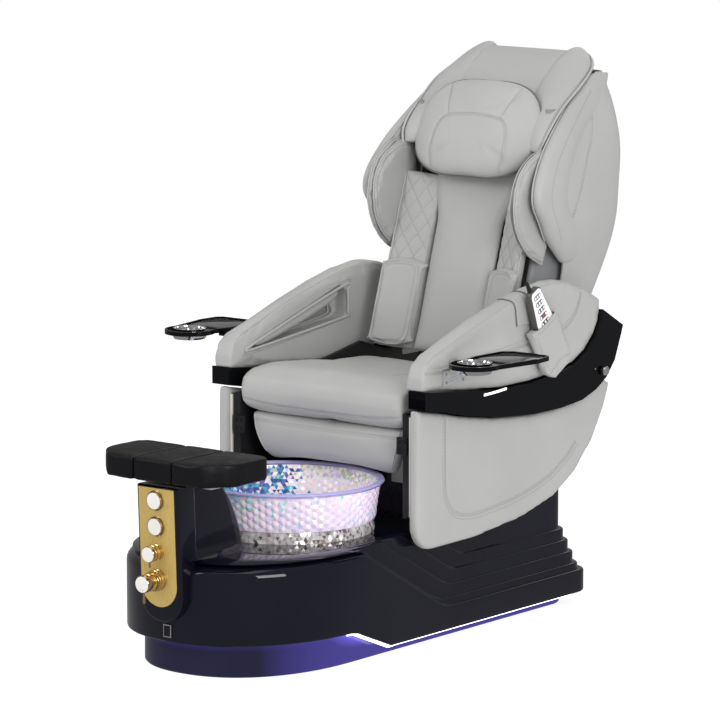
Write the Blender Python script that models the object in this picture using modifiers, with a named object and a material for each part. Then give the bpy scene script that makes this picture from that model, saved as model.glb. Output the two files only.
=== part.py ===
"""Pedicure spa chair: a massage chair that slides on a glossy base with a foot basin, a footrest
column with taps, two lifting armrests with fold-up trays, and a reclining back.

Units are metres. +Z is up, the sitter faces -Y, and +X is the sitter's left-hand side.
The origin is on the floor, under the middle of the base. Left and right in the names are
those of somebody who stands in front of the chair and looks at it: right is +X.
"""

from math import copysign, atan2, cos, pi, radians, sin

import bmesh
import bpy
from mathutils import Matrix, Vector

GAP = 0.0004                      # room between two pieces that touch
WALL = 0.008                      # moulded shell walls

# Base
BASE_HALF_WIDTH = 0.315
BASE_REAR = 0.712
NOSE_CENTRE = -0.300              # the nose is half an ellipse about this point
NOSE_REACH = 0.415
NOSE_POWER = 0.889                # 1 is an ellipse, less is squarer
DECK_HEIGHT = 0.308
SKIRT_FRONT = 0.090               # lower edge of the shell around the nose
SKIRT_REAR = 0.030
SKIRT_STEP = (-0.340, -0.190)     # the lower edge slants down between these places
SHOULDER_TOP = (-0.305, 0.292)
SHOULDER_FOOT = (0.043, 0.093)
TIERS = (                         # half width, front corner Y, height, one per moulded step
    (0.302, 0.030, 0.111),
    (0.292, 0.082, 0.143),
    (0.282, 0.122, 0.175),
    (0.272, 0.175, 0.206),
    (0.262, 0.175, 0.400),
)
RISER_FOOT = 0.055                # the deck steps up to the rear deck here
PLINTH_HALF_WIDTH = 0.270
PLINTH_REACH = 0.372
PLINTH_HEIGHT = 0.100
PLINTH_REAR = 0.660
ROPE_LIGHT_RADIUS = 0.006

# Basin
BASIN_CENTRE = -0.225
BASIN_RIM_RADIUS = 0.252
BASIN_FOOT_RADIUS = 0.226
BASIN_RIM_HEIGHT = 0.444
BASIN_WALL = 0.008
FOOT_RING_HEIGHT = 0.030
DRAIN_RADIUS = 0.022
JET_HEIGHT = 0.395
JET_RADIUS = 0.028

# Footrest column
COLUMN_HALF_WIDTH = 0.068
COLUMN_FRONT = -0.745
COLUMN_LEAN = 0.040               # forward lean per metre of height
COLUMN_REAR = (                   # (Y, Z) down the back of the column: it flares towards the basin
    (-0.489, DECK_HEIGHT + 0.0003), (-0.490, 0.326), (-0.503, 0.371), (-0.536, 0.438), (-0.560, 0.465),
    (-0.571, 0.498),
)
COLUMN_TOP = 0.498
COLUMN_TOE = 0.145
PLATE_WIDTH = 0.115
PLATE_BOTTOM = 0.186
PLATE_TOP = 0.494
PLATE_THICKNESS = 0.003
BUTTON_RADIUS = 0.0235
BUTTON_HEIGHTS = (0.463, 0.396)
DIVERTER_HEIGHT = 0.330
MIXER_HEIGHT = 0.258

# Footrest pads
FOOTREST_HALF_WIDTH = 0.216
FOOTREST_FRONT = -0.778
FOOTREST_REAR = -0.558
FOOTREST_TOP = 0.572
FOOTREST_THICKNESS = 0.062
FOOTREST_SEAM = 0.063

# Seat
SEAT_HALF_WIDTH = 0.270
SEAT_FRONT = -0.100
SEAT_REAR = 0.440
SEAT_TOP = 0.706
SEAT_BOTTOM = 0.578
CALF_TOP = 0.572
CALF_BOTTOM = 0.450
RAIL_X = 0.180
RAIL_HEIGHT = 0.020
DECK_REAR_HEIGHT = 0.400

# Sides
FRAME_INNER = 0.2725
FRAME_OUTER = 0.2845
POST_OUTER = 0.3005               # the side frame's front post and its arm bracket are wider
PANEL_INNER = 0.3035
PANEL_OUTER = 0.337
TRIM_OUTER = 0.357
PAD_INNER = 0.286
PAD_OUTER = 0.352
ARM_FRONT = -0.105
ARM_PIVOT = (0.690, 0.644)        # Y and Z
TRIM_BOTTOM = ((-0.103, 0.638), (0.000, 0.620), (0.092, 0.600), (0.230, 0.578), (0.378, 0.566),
               (0.500, 0.566), (0.600, 0.575), (0.665, 0.595), (0.712, 0.622))
TRIM_TOP = ((-0.103, 0.688), (0.060, 0.668), (0.232, 0.652), (0.376, 0.652), (0.480, 0.660),
            (0.568, 0.676), (0.625, 0.702), (0.665, 0.736), (0.690, 0.780), (0.694, 0.811))
BACK_PIVOT = (0.500, 0.600)

# Trays
TRAY_HINGE_X = 0.374
TRAY_HINGE_Z = 0.752
TRAY_TOP = 0.770
TRAY_THICKNESS = 0.012
CUP_CENTRE = (0.477, -0.054)
CUP_RADIUS = 0.046

# Backrest: Y and Z of the upholstered face, bottom to top, and of the shell's rear
BACK_FACE = ((0.462, 0.690), (0.492, 0.790), (0.530, 0.920), (0.570, 1.050), (0.603, 1.145),
             (0.611, 1.176))
HOOD_FACE = ((0.616, 1.187), (0.634, 1.260), (0.662, 1.335), (0.704, 1.392), (0.772, 1.450),
             (0.838, 1.484), (0.902, 1.472))
HOOD_SHOULDER = (1.350, 1.470)    # the hood narrows between these heights
SHELL_STATIONS = (                # Y of the front edge, Y of the rear, Z, half width, and the
    (0.575, 0.710, 0.640, 0.240, 0.00),      # share by which the front edges are drawn in
    (0.605, 0.830, 0.780, 0.250, 0.00),
    (0.640, 0.930, 0.930, 0.262, 0.00),
    (0.556, 0.952, 1.030, 0.292, 0.01),
    (0.506, 0.955, 1.130, 0.306, 0.03),
    (0.572, 0.958, 1.240, 0.302, 0.07),
    (0.700, 0.930, 1.350, 0.278, 0.07),
    (0.830, 0.888, 1.440, 0.240, 0.03),
)
CENTRE_PANEL_HALF = 0.112
QUILT_OUTER = 0.222
WING_SPAN = (0.2245, 0.2520)

# Remote control and its pocket
POCKET_MOUTH = (0.385, 0.818)     # Y and Z of the middle of the pocket's mouth
POCKET_LEAN = 28.0                # degrees, its top leans towards the sitter's knees
POCKET_HALF_WIDTH = 0.068
POCKET_DEPTH = 0.160
REMOTE_SPAN = (0.3665, 0.3840)    # X of its back and its face
REMOTE_HALF_WIDTH = 0.040


def clear_scene():
    for item in list(bpy.data.objects):
        bpy.data.objects.remove(item, do_unlink=True)
    for group in list(bpy.data.collections):
        bpy.data.collections.remove(group)


clear_scene()
PARTS = bpy.data.collections.new("pedicure_spa_chair")
CUTTERS = bpy.data.collections.new("cutters")
bpy.context.scene.collection.children.link(PARTS)
bpy.context.scene.collection.children.link(CUTTERS)


# ---------------------------------------------------------------- materials

def material(name, colour, roughness, metallic=0.0, alpha=1.0):
    item = bpy.data.materials.new(name)
    item.use_nodes = True
    shader = item.node_tree.nodes["Principled BSDF"]
    shader.inputs["Base Color"].default_value = (*colour, 1.0)
    shader.inputs["Roughness"].default_value = roughness
    shader.inputs["Metallic"].default_value = metallic
    shader.inputs["Alpha"].default_value = alpha
    item.diffuse_color = (*colour, alpha)
    return item


BLACK_GLOSS = material("black_gloss", (0.012, 0.013, 0.022), 0.08)
BLACK_VINYL = material("black_vinyl", (0.02, 0.018, 0.018), 0.4)
BLACK_STEEL = material("black_steel", (0.02, 0.02, 0.022), 0.45, 0.6)
LEATHER = material("grey_leather", (0.50, 0.50, 0.49), 0.45)
GOLD = material("brushed_gold", (0.78, 0.56, 0.24), 0.3, 1.0)
CHROME = material("chrome", (0.85, 0.85, 0.86), 0.08, 1.0)
STEEL = material("brushed_steel", (0.6, 0.6, 0.62), 0.3, 1.0)
CRYSTAL = material("crystal", (0.86, 0.78, 0.92), 0.05, 0.0, 0.5)
CLEAR = material("clear_glass", (0.8, 0.8, 0.8), 0.05, 0.0, 0.4)
WHITE_LIGHT = material("rope_light", (0.75, 0.75, 1.0), 0.4)
WHITE_PLASTIC = material("white_plastic", (0.9, 0.9, 0.9), 0.35)
GREY_PLASTIC = material("grey_plastic", (0.25, 0.26, 0.28), 0.5)


# ---------------------------------------------------------------- shape helpers

def add_object(name, mesh, look, collection=None):
    item = bpy.data.objects.new(name, mesh)
    (collection or PARTS).objects.link(item)
    if look:
        mesh.materials.clear()
        mesh.materials.append(look)
    return item


def from_bmesh(name, work, look, collection=None):
    bmesh.ops.recalc_face_normals(work, faces=work.faces)
    if work.calc_volume(signed=True) < 0:
        bmesh.ops.reverse_faces(work, faces=work.faces)
    mesh = bpy.data.meshes.new(name)
    work.to_mesh(mesh)
    work.free()
    return add_object(name, mesh, look, collection)


def mesh_from_curve(name, curve, matrix, look, collection=None):
    """Make a curve a closed mesh whose caps are welded on."""
    holder = bpy.data.objects.new(name + "_curve", curve)
    bpy.context.scene.collection.objects.link(holder)
    bpy.context.view_layer.update()
    evaluated = holder.evaluated_get(bpy.context.evaluated_depsgraph_get())
    mesh = bpy.data.meshes.new_from_object(evaluated)
    work = bmesh.new()
    work.from_mesh(mesh)
    bmesh.ops.remove_doubles(work, verts=work.verts, dist=0.00002)
    work.transform(matrix)
    bpy.data.objects.remove(holder, do_unlink=True)
    bpy.data.meshes.remove(mesh)
    return from_bmesh(name, work, look, collection)


def flat_piece(name, outline, low, high, look, plane="XY", collection=None):
    """A flat outline made solid between two levels. Plane YZ puts the levels along X."""
    curve = bpy.data.curves.new(name, "CURVE")
    curve.dimensions = "2D"
    curve.fill_mode = "BOTH"
    curve.extrude = (high - low) / 2
    spline = curve.splines.new("POLY")
    spline.points.add(len(outline) - 1)
    for point, (u, v) in zip(spline.points, outline):
        point.co = (u, v, 0, 1)
    spline.use_cyclic_u = True
    turn = {
        "XY": Matrix.Identity(4),
        "YZ": Matrix(((0, 0, 1, 0), (1, 0, 0, 0), (0, 1, 0, 0), (0, 0, 0, 1))),
        "XZ": Matrix(((1, 0, 0, 0), (0, 0, -1, 0), (0, 1, 0, 0), (0, 0, 0, 1))),
    }[plane]
    middle = (low + high) / 2
    shift = {"XY": (0, 0, middle), "YZ": (middle, 0, 0), "XZ": (0, middle, 0)}[plane]
    return mesh_from_curve(name, curve, Matrix.Translation(shift) @ turn, look, collection)


def box(name, low, high, look, collection=None):
    work = bmesh.new()
    bmesh.ops.create_cube(work, size=1)
    size = [high[axis] - low[axis] for axis in range(3)]
    middle = [(high[axis] + low[axis]) / 2 for axis in range(3)]
    bmesh.ops.scale(work, vec=size, verts=work.verts)
    bmesh.ops.translate(work, vec=middle, verts=work.verts)
    return from_bmesh(name, work, look, collection)


def cylinder(name, start, end, radius, look, end_radius=None, sides=24, collection=None):
    start, end = Vector(start), Vector(end)
    work = bmesh.new()
    bmesh.ops.create_cone(work, cap_ends=True, segments=sides, radius1=radius,
                          radius2=radius if end_radius is None else end_radius,
                          depth=(end - start).length)
    turn = (end - start).to_track_quat("Z", "Y").to_matrix().to_4x4()
    work.transform(Matrix.Translation((start + end) / 2) @ turn)
    return from_bmesh(name, work, look, collection)


def tube(name, points, radius, look, sides=2):
    """A round bar along points, with filled ends."""
    curve = bpy.data.curves.new(name, "CURVE")
    curve.dimensions = "3D"
    curve.bevel_depth = radius
    curve.bevel_resolution = sides
    curve.use_fill_caps = True
    spline = curve.splines.new("POLY")
    spline.points.add(len(points) - 1)
    for point, place in zip(spline.points, points):
        point.co = (*place, 1)
    return mesh_from_curve(name, curve, Matrix.Identity(4), look)


def loft(name, loops, look, collection=None):
    """Join closed loops of equal length, one after another, and cap both ends."""
    work = bmesh.new()
    rings = [[work.verts.new(point) for point in loop] for loop in loops]
    count = len(loops[0])
    for lower, upper in zip(rings, rings[1:]):
        for step in range(count):
            following = (step + 1) % count
            work.faces.new((lower[step], lower[following], upper[following], upper[step]))
    work.faces.new(rings[0])
    work.faces.new(rings[-1])
    return from_bmesh(name, work, look, collection)


def turned(name, profile, centre, look, steps=36):
    """A (radius, height) profile turned about a vertical axis at centre. It is a closed loop, or
    it starts and ends on the axis. Either way it is made to run down its outer side."""
    area = sum(a[0] * b[1] - b[0] * a[1] for a, b in zip(profile, profile[1:] + profile[:1]))
    if area > 0:
        profile = profile[::-1]
    mesh = bpy.data.meshes.new(name)
    edges = [(index, (index + 1) % len(profile)) for index in range(len(profile))]
    if min(radius for radius, _ in profile) == 0:
        edges = edges[:-1]
    mesh.from_pydata([(radius, 0, height) for radius, height in profile], edges, [])
    item = add_object(name, mesh, look)
    item.location = (*centre, 0)
    screw = item.modifiers.new("turn", "SCREW")
    screw.steps = steps
    screw.render_steps = steps
    screw.use_merge_vertices = True
    screw.merge_threshold = 0.00005
    return item


def combine(item, other, operation):
    """Boolean that is applied at once; the other object is used up."""
    boolean = item.modifiers.new("boolean", "BOOLEAN")
    boolean.operation = operation
    boolean.object = other
    bpy.context.view_layer.update()
    evaluated = item.evaluated_get(bpy.context.evaluated_depsgraph_get())
    mesh = bpy.data.meshes.new_from_object(evaluated)
    item.modifiers.remove(boolean)
    item.data = mesh
    bpy.data.objects.remove(other, do_unlink=True)
    return item


def soften(item, width, segments=2, angle=35):
    bevel = item.modifiers.new("round", "BEVEL")
    bevel.width = width
    bevel.segments = segments
    bevel.limit_method = "ANGLE"
    bevel.angle_limit = radians(angle)
    return item


def smooth(item, angle=40):
    item.data.shade_smooth()
    item.data.set_sharp_from_angle(angle=radians(angle))
    return item


def mirror_copy(item, name):
    """The same piece on the other side of the chair, with its faces still pointing out."""
    bpy.context.view_layer.update()
    evaluated = item.evaluated_get(bpy.context.evaluated_depsgraph_get())
    mesh = bpy.data.meshes.new_from_object(evaluated)
    mesh.transform(Matrix.Scale(-1, 4, (1, 0, 0)) @ item.matrix_world)
    mesh.flip_normals()
    mesh.name = name
    return add_object(name, mesh, item.data.materials[0])


def both_sides(item):
    """item is named NAME_right; make NAME_left as well."""
    mirror_copy(item, item.name.replace("_right", "_left"))
    return item


def smooth_path(points, per_span=4):
    """Catmull-Rom curve through the points."""
    ends = [points[0]] + list(points) + [points[-1]]
    path = []
    for a, b, c, d in zip(ends, ends[1:], ends[2:], ends[3:]):
        for step in range(per_span):
            t = step / per_span
            path.append(tuple(
                0.5 * (2 * q + (r - p) * t + (2 * p - 5 * q + 4 * r - s) * t * t
                       + (3 * q - p - 3 * r + s) * t ** 3)
                for p, q, r, s in zip(a, b, c, d)))
    path.append(tuple(points[-1]))
    return path


def pad_along(name, path, left, right, thickness, look, lift=0.0, turn_in=0.0, narrowing=None):
    """A pad that follows a Y-Z path between two X values. It stands lift in front of the path,
    and its outer edge comes turn_in further forward. narrowing gives the share of the width
    that is left at a height."""
    loops = []
    edge = thickness * 0.3
    for index, (y, z) in enumerate(path):
        before = path[max(index - 1, 0)]
        after = path[min(index + 1, len(path) - 1)]
        heading = atan2(after[1] - before[1], after[0] - before[0])
        out_y, out_z = -sin(heading), cos(heading)
        loop = []
        for x, depth in ((left, edge), (left + edge, 0), (right - edge, 0), (right, edge),
                         (right, thickness - edge), (right - edge, thickness),
                         (left + edge, thickness), (left, thickness - edge)):
            share = abs(x) - min(abs(left), abs(right))
            forward = lift + depth + turn_in * share / abs(right - left)
            narrow = narrowing(z) if narrowing else 1.0
            loop.append((x * narrow, y + out_y * forward, z + out_z * forward))
        loops.append(loop)
    return smooth(loft(name, loops, look))


# ---------------------------------------------------------------- base

def squared(value):
    """A sine or cosine pulled outwards, so that the nose is a little squarer than an ellipse."""
    return copysign(abs(value) ** NOSE_POWER, value)


def plan_outline(inset, half_width=BASE_HALF_WIDTH, reach=NOSE_REACH, rear=BASE_REAR, corner=0.06):
    """Plan view of the base: half an ellipse in front, straight sides and a rounded rear."""
    wide = half_width - inset
    long = reach - inset
    back = rear - inset
    points = []
    for step in range(21):
        angle = pi + pi * step / 20
        points.append((wide * squared(cos(angle)), NOSE_CENTRE + long * squared(sin(angle))))
    for step in range(6):
        angle = pi / 2 * step / 5
        points.append((wide - corner + corner * cos(angle), back - corner + corner * sin(angle)))
    for step in range(6):
        angle = pi / 2 + pi / 2 * step / 5
        points.append((-wide + corner + corner * cos(angle), back - corner + corner * sin(angle)))
    return points


def base_form(name, inset, floor_level, look, collection):
    """The base's outside for inset 0, and the hollow inside it for a wall's inset."""
    slope = (SHOULDER_TOP[1] - SHOULDER_FOOT[1]) / (SHOULDER_TOP[0] - SHOULDER_FOOT[0])
    far = 1.0
    form = flat_piece(name, plan_outline(inset), floor_level, DECK_HEIGHT - inset, look,
                      collection=collection)
    drop = inset * 1.2
    high = 0.6
    over = [(SHOULDER_TOP[0] - 0.08, high), (SHOULDER_TOP[0] - 0.02, DECK_HEIGHT - drop + 0.02),
            (SHOULDER_TOP[0], SHOULDER_TOP[1] - drop), (SHOULDER_FOOT[0], SHOULDER_FOOT[1] - drop),
            (far, SHOULDER_FOOT[1] - drop), (far, high)]
    combine(form, flat_piece("cut_shoulder", over, -1, 1, None, "YZ", CUTTERS), "DIFFERENCE")
    for half_width, front, height in TIERS:
        top = height - inset
        deck = DECK_HEIGHT - inset - 0.0015
        start = SHOULDER_TOP[0] - 0.02
        side = [(start, deck)]
        if top < DECK_HEIGHT:
            side += [(front + (deck - top) / slope, deck), (front, top)]
        else:
            side += [(RISER_FOOT + inset, deck), (RISER_FOOT + 0.02 + inset, top)]
        side += [(far, top), (far, floor_level - 0.1), (start, floor_level - 0.1)]
        tier = flat_piece("tier", plan_outline(BASE_HALF_WIDTH - half_width + inset),
                          floor_level + 0.004, 0.5, look, collection=CUTTERS)
        combine(tier, flat_piece("tier_side", side, -1, 1, None, "YZ", CUTTERS), "INTERSECT")
        combine(form, tier, "UNION")
    return form


def skirt_height(y):
    low, high = SKIRT_STEP
    share = min(max((y - low) / (high - low), 0), 1)
    return SKIRT_FRONT + (SKIRT_REAR - SKIRT_FRONT) * share


def make_base():
    plinth = plan_outline(0, PLINTH_HALF_WIDTH, PLINTH_REACH, PLINTH_REAR)
    flat_piece("base_plinth", plinth, 0, PLINTH_HEIGHT, BLACK_GLOSS)

    shell = base_form("base_shell", 0, SKIRT_REAR, BLACK_GLOSS, PARTS)
    combine(shell, base_form("hollow", WALL, -0.02, None, CUTTERS), "DIFFERENCE")
    past = SKIRT_STEP[1] + 0.010
    under = [(-1, -0.1), (-1, SKIRT_FRONT), (SKIRT_STEP[0], SKIRT_FRONT),
             (past, SKIRT_REAR - 0.004), (past, -0.1)]
    combine(shell, flat_piece("cut_skirt", under, -1, 1, None, "YZ", CUTTERS), "DIFFERENCE")
    drain = cylinder("cut_drain", (0, BASIN_CENTRE, 0.2), (0, BASIN_CENTRE, 0.4), DRAIN_RADIUS + 0.003,
                     None, collection=CUTTERS)
    combine(shell, drain, "DIFFERENCE")
    room = COLUMN_HALF_WIDTH + 0.001
    toe = column_outline(room)
    combine(shell, flat_piece("cut_column", toe, -1, -0.665, None, "XZ", CUTTERS), "DIFFERENCE")

    path = []
    room = 0.002
    side = PLINTH_HALF_WIDTH + ROPE_LIGHT_RADIUS + room
    front = PLINTH_REACH + ROPE_LIGHT_RADIUS + room
    for y in (0.58, 0.38, 0.18, 0.0, -0.12, -0.20, -0.25):
        path.append((side, y))
    for step in range(17):
        angle = -pi * step / 16
        path.append((side * squared(cos(angle)), NOSE_CENTRE + front * squared(sin(angle))))
    for y in (-0.25, -0.20, -0.12, 0.0, 0.18, 0.38, 0.58):
        path.append((-side, y))
    rope = [(x, y, skirt_height(y) + 0.006) for x, y in path]
    tube("rope_light", rope, ROPE_LIGHT_RADIUS, WHITE_LIGHT, 1)

    box("badge_plate", (-0.013, -0.7195, 0.102), (0.013, -0.7155, 0.136), CHROME)

    box("power_box", (-0.10, 0.36, PLINTH_HEIGHT + GAP), (0.10, 0.56, 0.19), GREY_PLASTIC)
    for side_name, sign in (("right", 1), ("left", -1)):
        x = sign * RAIL_X
        box("seat_rail_" + side_name, (x - 0.015, 0.10, DECK_REAR_HEIGHT + GAP),
            (x + 0.015, 0.64, DECK_REAR_HEIGHT + RAIL_HEIGHT), BLACK_STEEL)
    return shell


# ---------------------------------------------------------------- basin

def make_basin():
    low = DECK_HEIGHT + GAP
    floor_top = low + FOOT_RING_HEIGHT
    rim, foot = BASIN_RIM_RADIUS, BASIN_FOOT_RADIUS
    base_radius = DRAIN_RADIUS + 0.004
    outer = [(base_radius, floor_top), (foot - 0.012, floor_top), (foot, floor_top + 0.004)]
    for step in range(1, 6):
        share = step / 5
        outer.append((foot + (rim - 0.012 - foot) * share ** 1.4,
                      floor_top + 0.004 + (BASIN_RIM_HEIGHT - 0.014 - floor_top) * share))
    lip = [(rim, BASIN_RIM_HEIGHT - 0.008), (rim, BASIN_RIM_HEIGHT), (rim - 0.016, BASIN_RIM_HEIGHT)]
    inner = [(radius - BASIN_WALL, height + 0.002) for radius, height in reversed(outer[3:-1])]
    inner += [(foot - 0.030, floor_top + 0.012), (base_radius, floor_top + 0.008)]
    bowl = smooth(turned("basin_bowl", outer + lip + inner, (0, BASIN_CENTRE), CRYSTAL))

    ring = [(foot - 0.050, floor_top - GAP), (foot - 0.050, low), (foot + 0.002, low),
            (foot - 0.004, floor_top - GAP)]
    smooth(turned("basin_foot", ring, (0, BASIN_CENTRE), CLEAR))

    seat = floor_top + 0.008
    stem = DRAIN_RADIUS
    tail = [(0.012, seat + 0.0024), (0.012, PLINTH_HEIGHT + GAP), (stem, PLINTH_HEIGHT + GAP),
            (stem, seat + GAP),
            (stem + 0.012, seat + GAP), (stem + 0.012, seat + 0.0024)]
    smooth(turned("drain_pipe", tail, (0, BASIN_CENTRE), CHROME, 24))
    plug = [(0, seat + 0.0045), (stem + 0.002, seat + 0.0045), (stem + 0.004, seat + 0.0028),
            (0.0105, seat + 0.0028), (0.0105, 0.285), (0, 0.285)]
    smooth(turned("drain_stopper", plug, (0, BASIN_CENTRE), CHROME, 24))

    y = BASIN_CENTRE - BASIN_FOOT_RADIUS + 0.026
    start, end = (0, y + 0.020, JET_HEIGHT), (0, y - 0.012, JET_HEIGHT)
    housing = cylinder("jet_housing", start, end, JET_RADIUS, CHROME, sides=28)
    hollow = cylinder("cut_jet", (0, y + 0.03, JET_HEIGHT), (0, y - 0.004, JET_HEIGHT), JET_RADIUS - 0.004,
                      None, sides=28, collection=CUTTERS)
    combine(housing, hollow, "DIFFERENCE")
    wheel = cylinder("jet_impeller", (0, y + 0.016, JET_HEIGHT), (0, y - 0.0035, JET_HEIGHT), 0.006,
                     WHITE_PLASTIC, sides=16)
    for blade in range(4):
        vane = box("vane", (-0.0015, y, 0.002), (0.0015, y + 0.012, JET_RADIUS - 0.006), None, CUTTERS)
        vane.data.transform(Matrix.Translation((0, 0, JET_HEIGHT)) @ Matrix.Rotation(blade * pi / 2, 4, "Y"))
        combine(wheel, vane, "UNION")
    return bowl


# ---------------------------------------------------------------- footrest column

def column_outline(half_width, toe=COLUMN_TOE, top=1.0):
    """Front view of the column: straight sides and a round lower end."""
    points = [(half_width, top), (-half_width, top)]
    centre = toe + half_width
    for step in range(13):
        angle = pi + pi * step / 12
        points.append((half_width * cos(angle), centre + half_width * sin(angle)))
    return points


def front_y(height):
    """The column leans forward a little as it rises."""
    return COLUMN_FRONT - COLUMN_LEAN * (height - 0.2)


LEAN_ANGLE = atan2(COLUMN_LEAN, 1)
OUTWARD = Vector((0, -cos(LEAN_ANGLE), sin(LEAN_ANGLE) * -1))


def on_plate(height, out=0.0, x=0.0):
    """A point on the front of the control plate, or out in front of it."""
    place = Vector((x, front_y(height) - PLATE_THICKNESS - 2 * GAP, height))
    return place + OUTWARD * out


def shear_forward(item):
    """Lean an upright front slab so that it follows front_y."""
    for vertex in item.data.vertices:
        vertex.co.y += front_y(vertex.co.z) - COLUMN_FRONT
    return item


def make_column():
    front = flat_piece("footrest_column", column_outline(COLUMN_HALF_WIDTH, top=COLUMN_TOP), COLUMN_FRONT,
                       -0.668, BLACK_GLOSS, "XZ")
    shear_forward(front)
    profile = [(-0.70, DECK_HEIGHT + GAP), *COLUMN_REAR, (-0.70, COLUMN_TOP)]
    behind = flat_piece("column_rear", profile, -COLUMN_HALF_WIDTH, COLUMN_HALF_WIDTH, None, "YZ", CUTTERS)
    combine(front, behind, "UNION")
    bore = box("cut_post", (-0.031, -0.661, 0.36), (0.031, -0.599, 0.6), None, CUTTERS)
    combine(front, bore, "DIFFERENCE")

    plate = flat_piece("control_plate", column_outline(PLATE_WIDTH / 2, PLATE_BOTTOM, PLATE_TOP),
                       COLUMN_FRONT - PLATE_THICKNESS - GAP, COLUMN_FRONT - GAP, GOLD, "XZ")
    shear_forward(plate)

    for number, height in enumerate(BUTTON_HEIGHTS, 1):
        cylinder("push_button_%d" % number, on_plate(height, 0.0036), on_plate(height, 0.0105),
                 BUTTON_RADIUS, CHROME, sides=32)

    knob = cylinder("diverter_knob", on_plate(DIVERTER_HEIGHT, GAP), on_plate(DIVERTER_HEIGHT, 0.040),
                    0.021, GOLD, sides=32)
    lever = cylinder("lever", on_plate(DIVERTER_HEIGHT - 0.012, 0.034),
                     on_plate(DIVERTER_HEIGHT - 0.034, 0.034),
                     0.003, None, sides=12, collection=CUTTERS)
    combine(knob, lever, "UNION")

    collar = cylinder("collar", on_plate(MIXER_HEIGHT, -0.001), on_plate(MIXER_HEIGHT, 0.030), 0.026, None,
                      sides=28, collection=CUTTERS)
    combine(plate, collar, "UNION")
    knob = cylinder("mixer_knob", on_plate(MIXER_HEIGHT, 0.030 + GAP), on_plate(MIXER_HEIGHT, 0.066), 0.0225,
                    GOLD, sides=32)
    lever = cylinder("lever", on_plate(MIXER_HEIGHT - 0.012, 0.058), on_plate(MIXER_HEIGHT - 0.050, 0.058),
                     0.0038, None, sides=12, collection=CUTTERS)
    combine(knob, lever, "UNION")

    under = FOOTREST_TOP - FOOTREST_THICKNESS
    post = box("footrest_post", (-0.030, -0.660, 0.37), (0.030, -0.600, under - 0.008), STEEL)
    plate = box("head", (-0.15, -0.72, under - 0.009), (0.15, -0.57, under - GAP), None, CUTTERS)
    combine(post, plate, "UNION")

    seam, half = FOOTREST_SEAM, FOOTREST_HALF_WIDTH
    front, rear = FOOTREST_FRONT, FOOTREST_REAR
    middle = [(-seam + GAP, front), (seam - GAP, front), (seam - GAP, rear), (-seam + GAP, rear)]
    soften(flat_piece("footrest_pad_middle", middle, under, FOOTREST_TOP, BLACK_VINYL), 0.004)
    end = [(seam + GAP, front), (0.152, front + 0.006), (half - 0.012, front + 0.062), (half, front + 0.090),
           (half, rear - 0.020), (half - 0.018, rear), (seam + GAP, rear)]
    both_sides(soften(flat_piece("footrest_pad_right", end, under, FOOTREST_TOP, BLACK_VINYL), 0.004))


# ---------------------------------------------------------------- seat and sides

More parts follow.
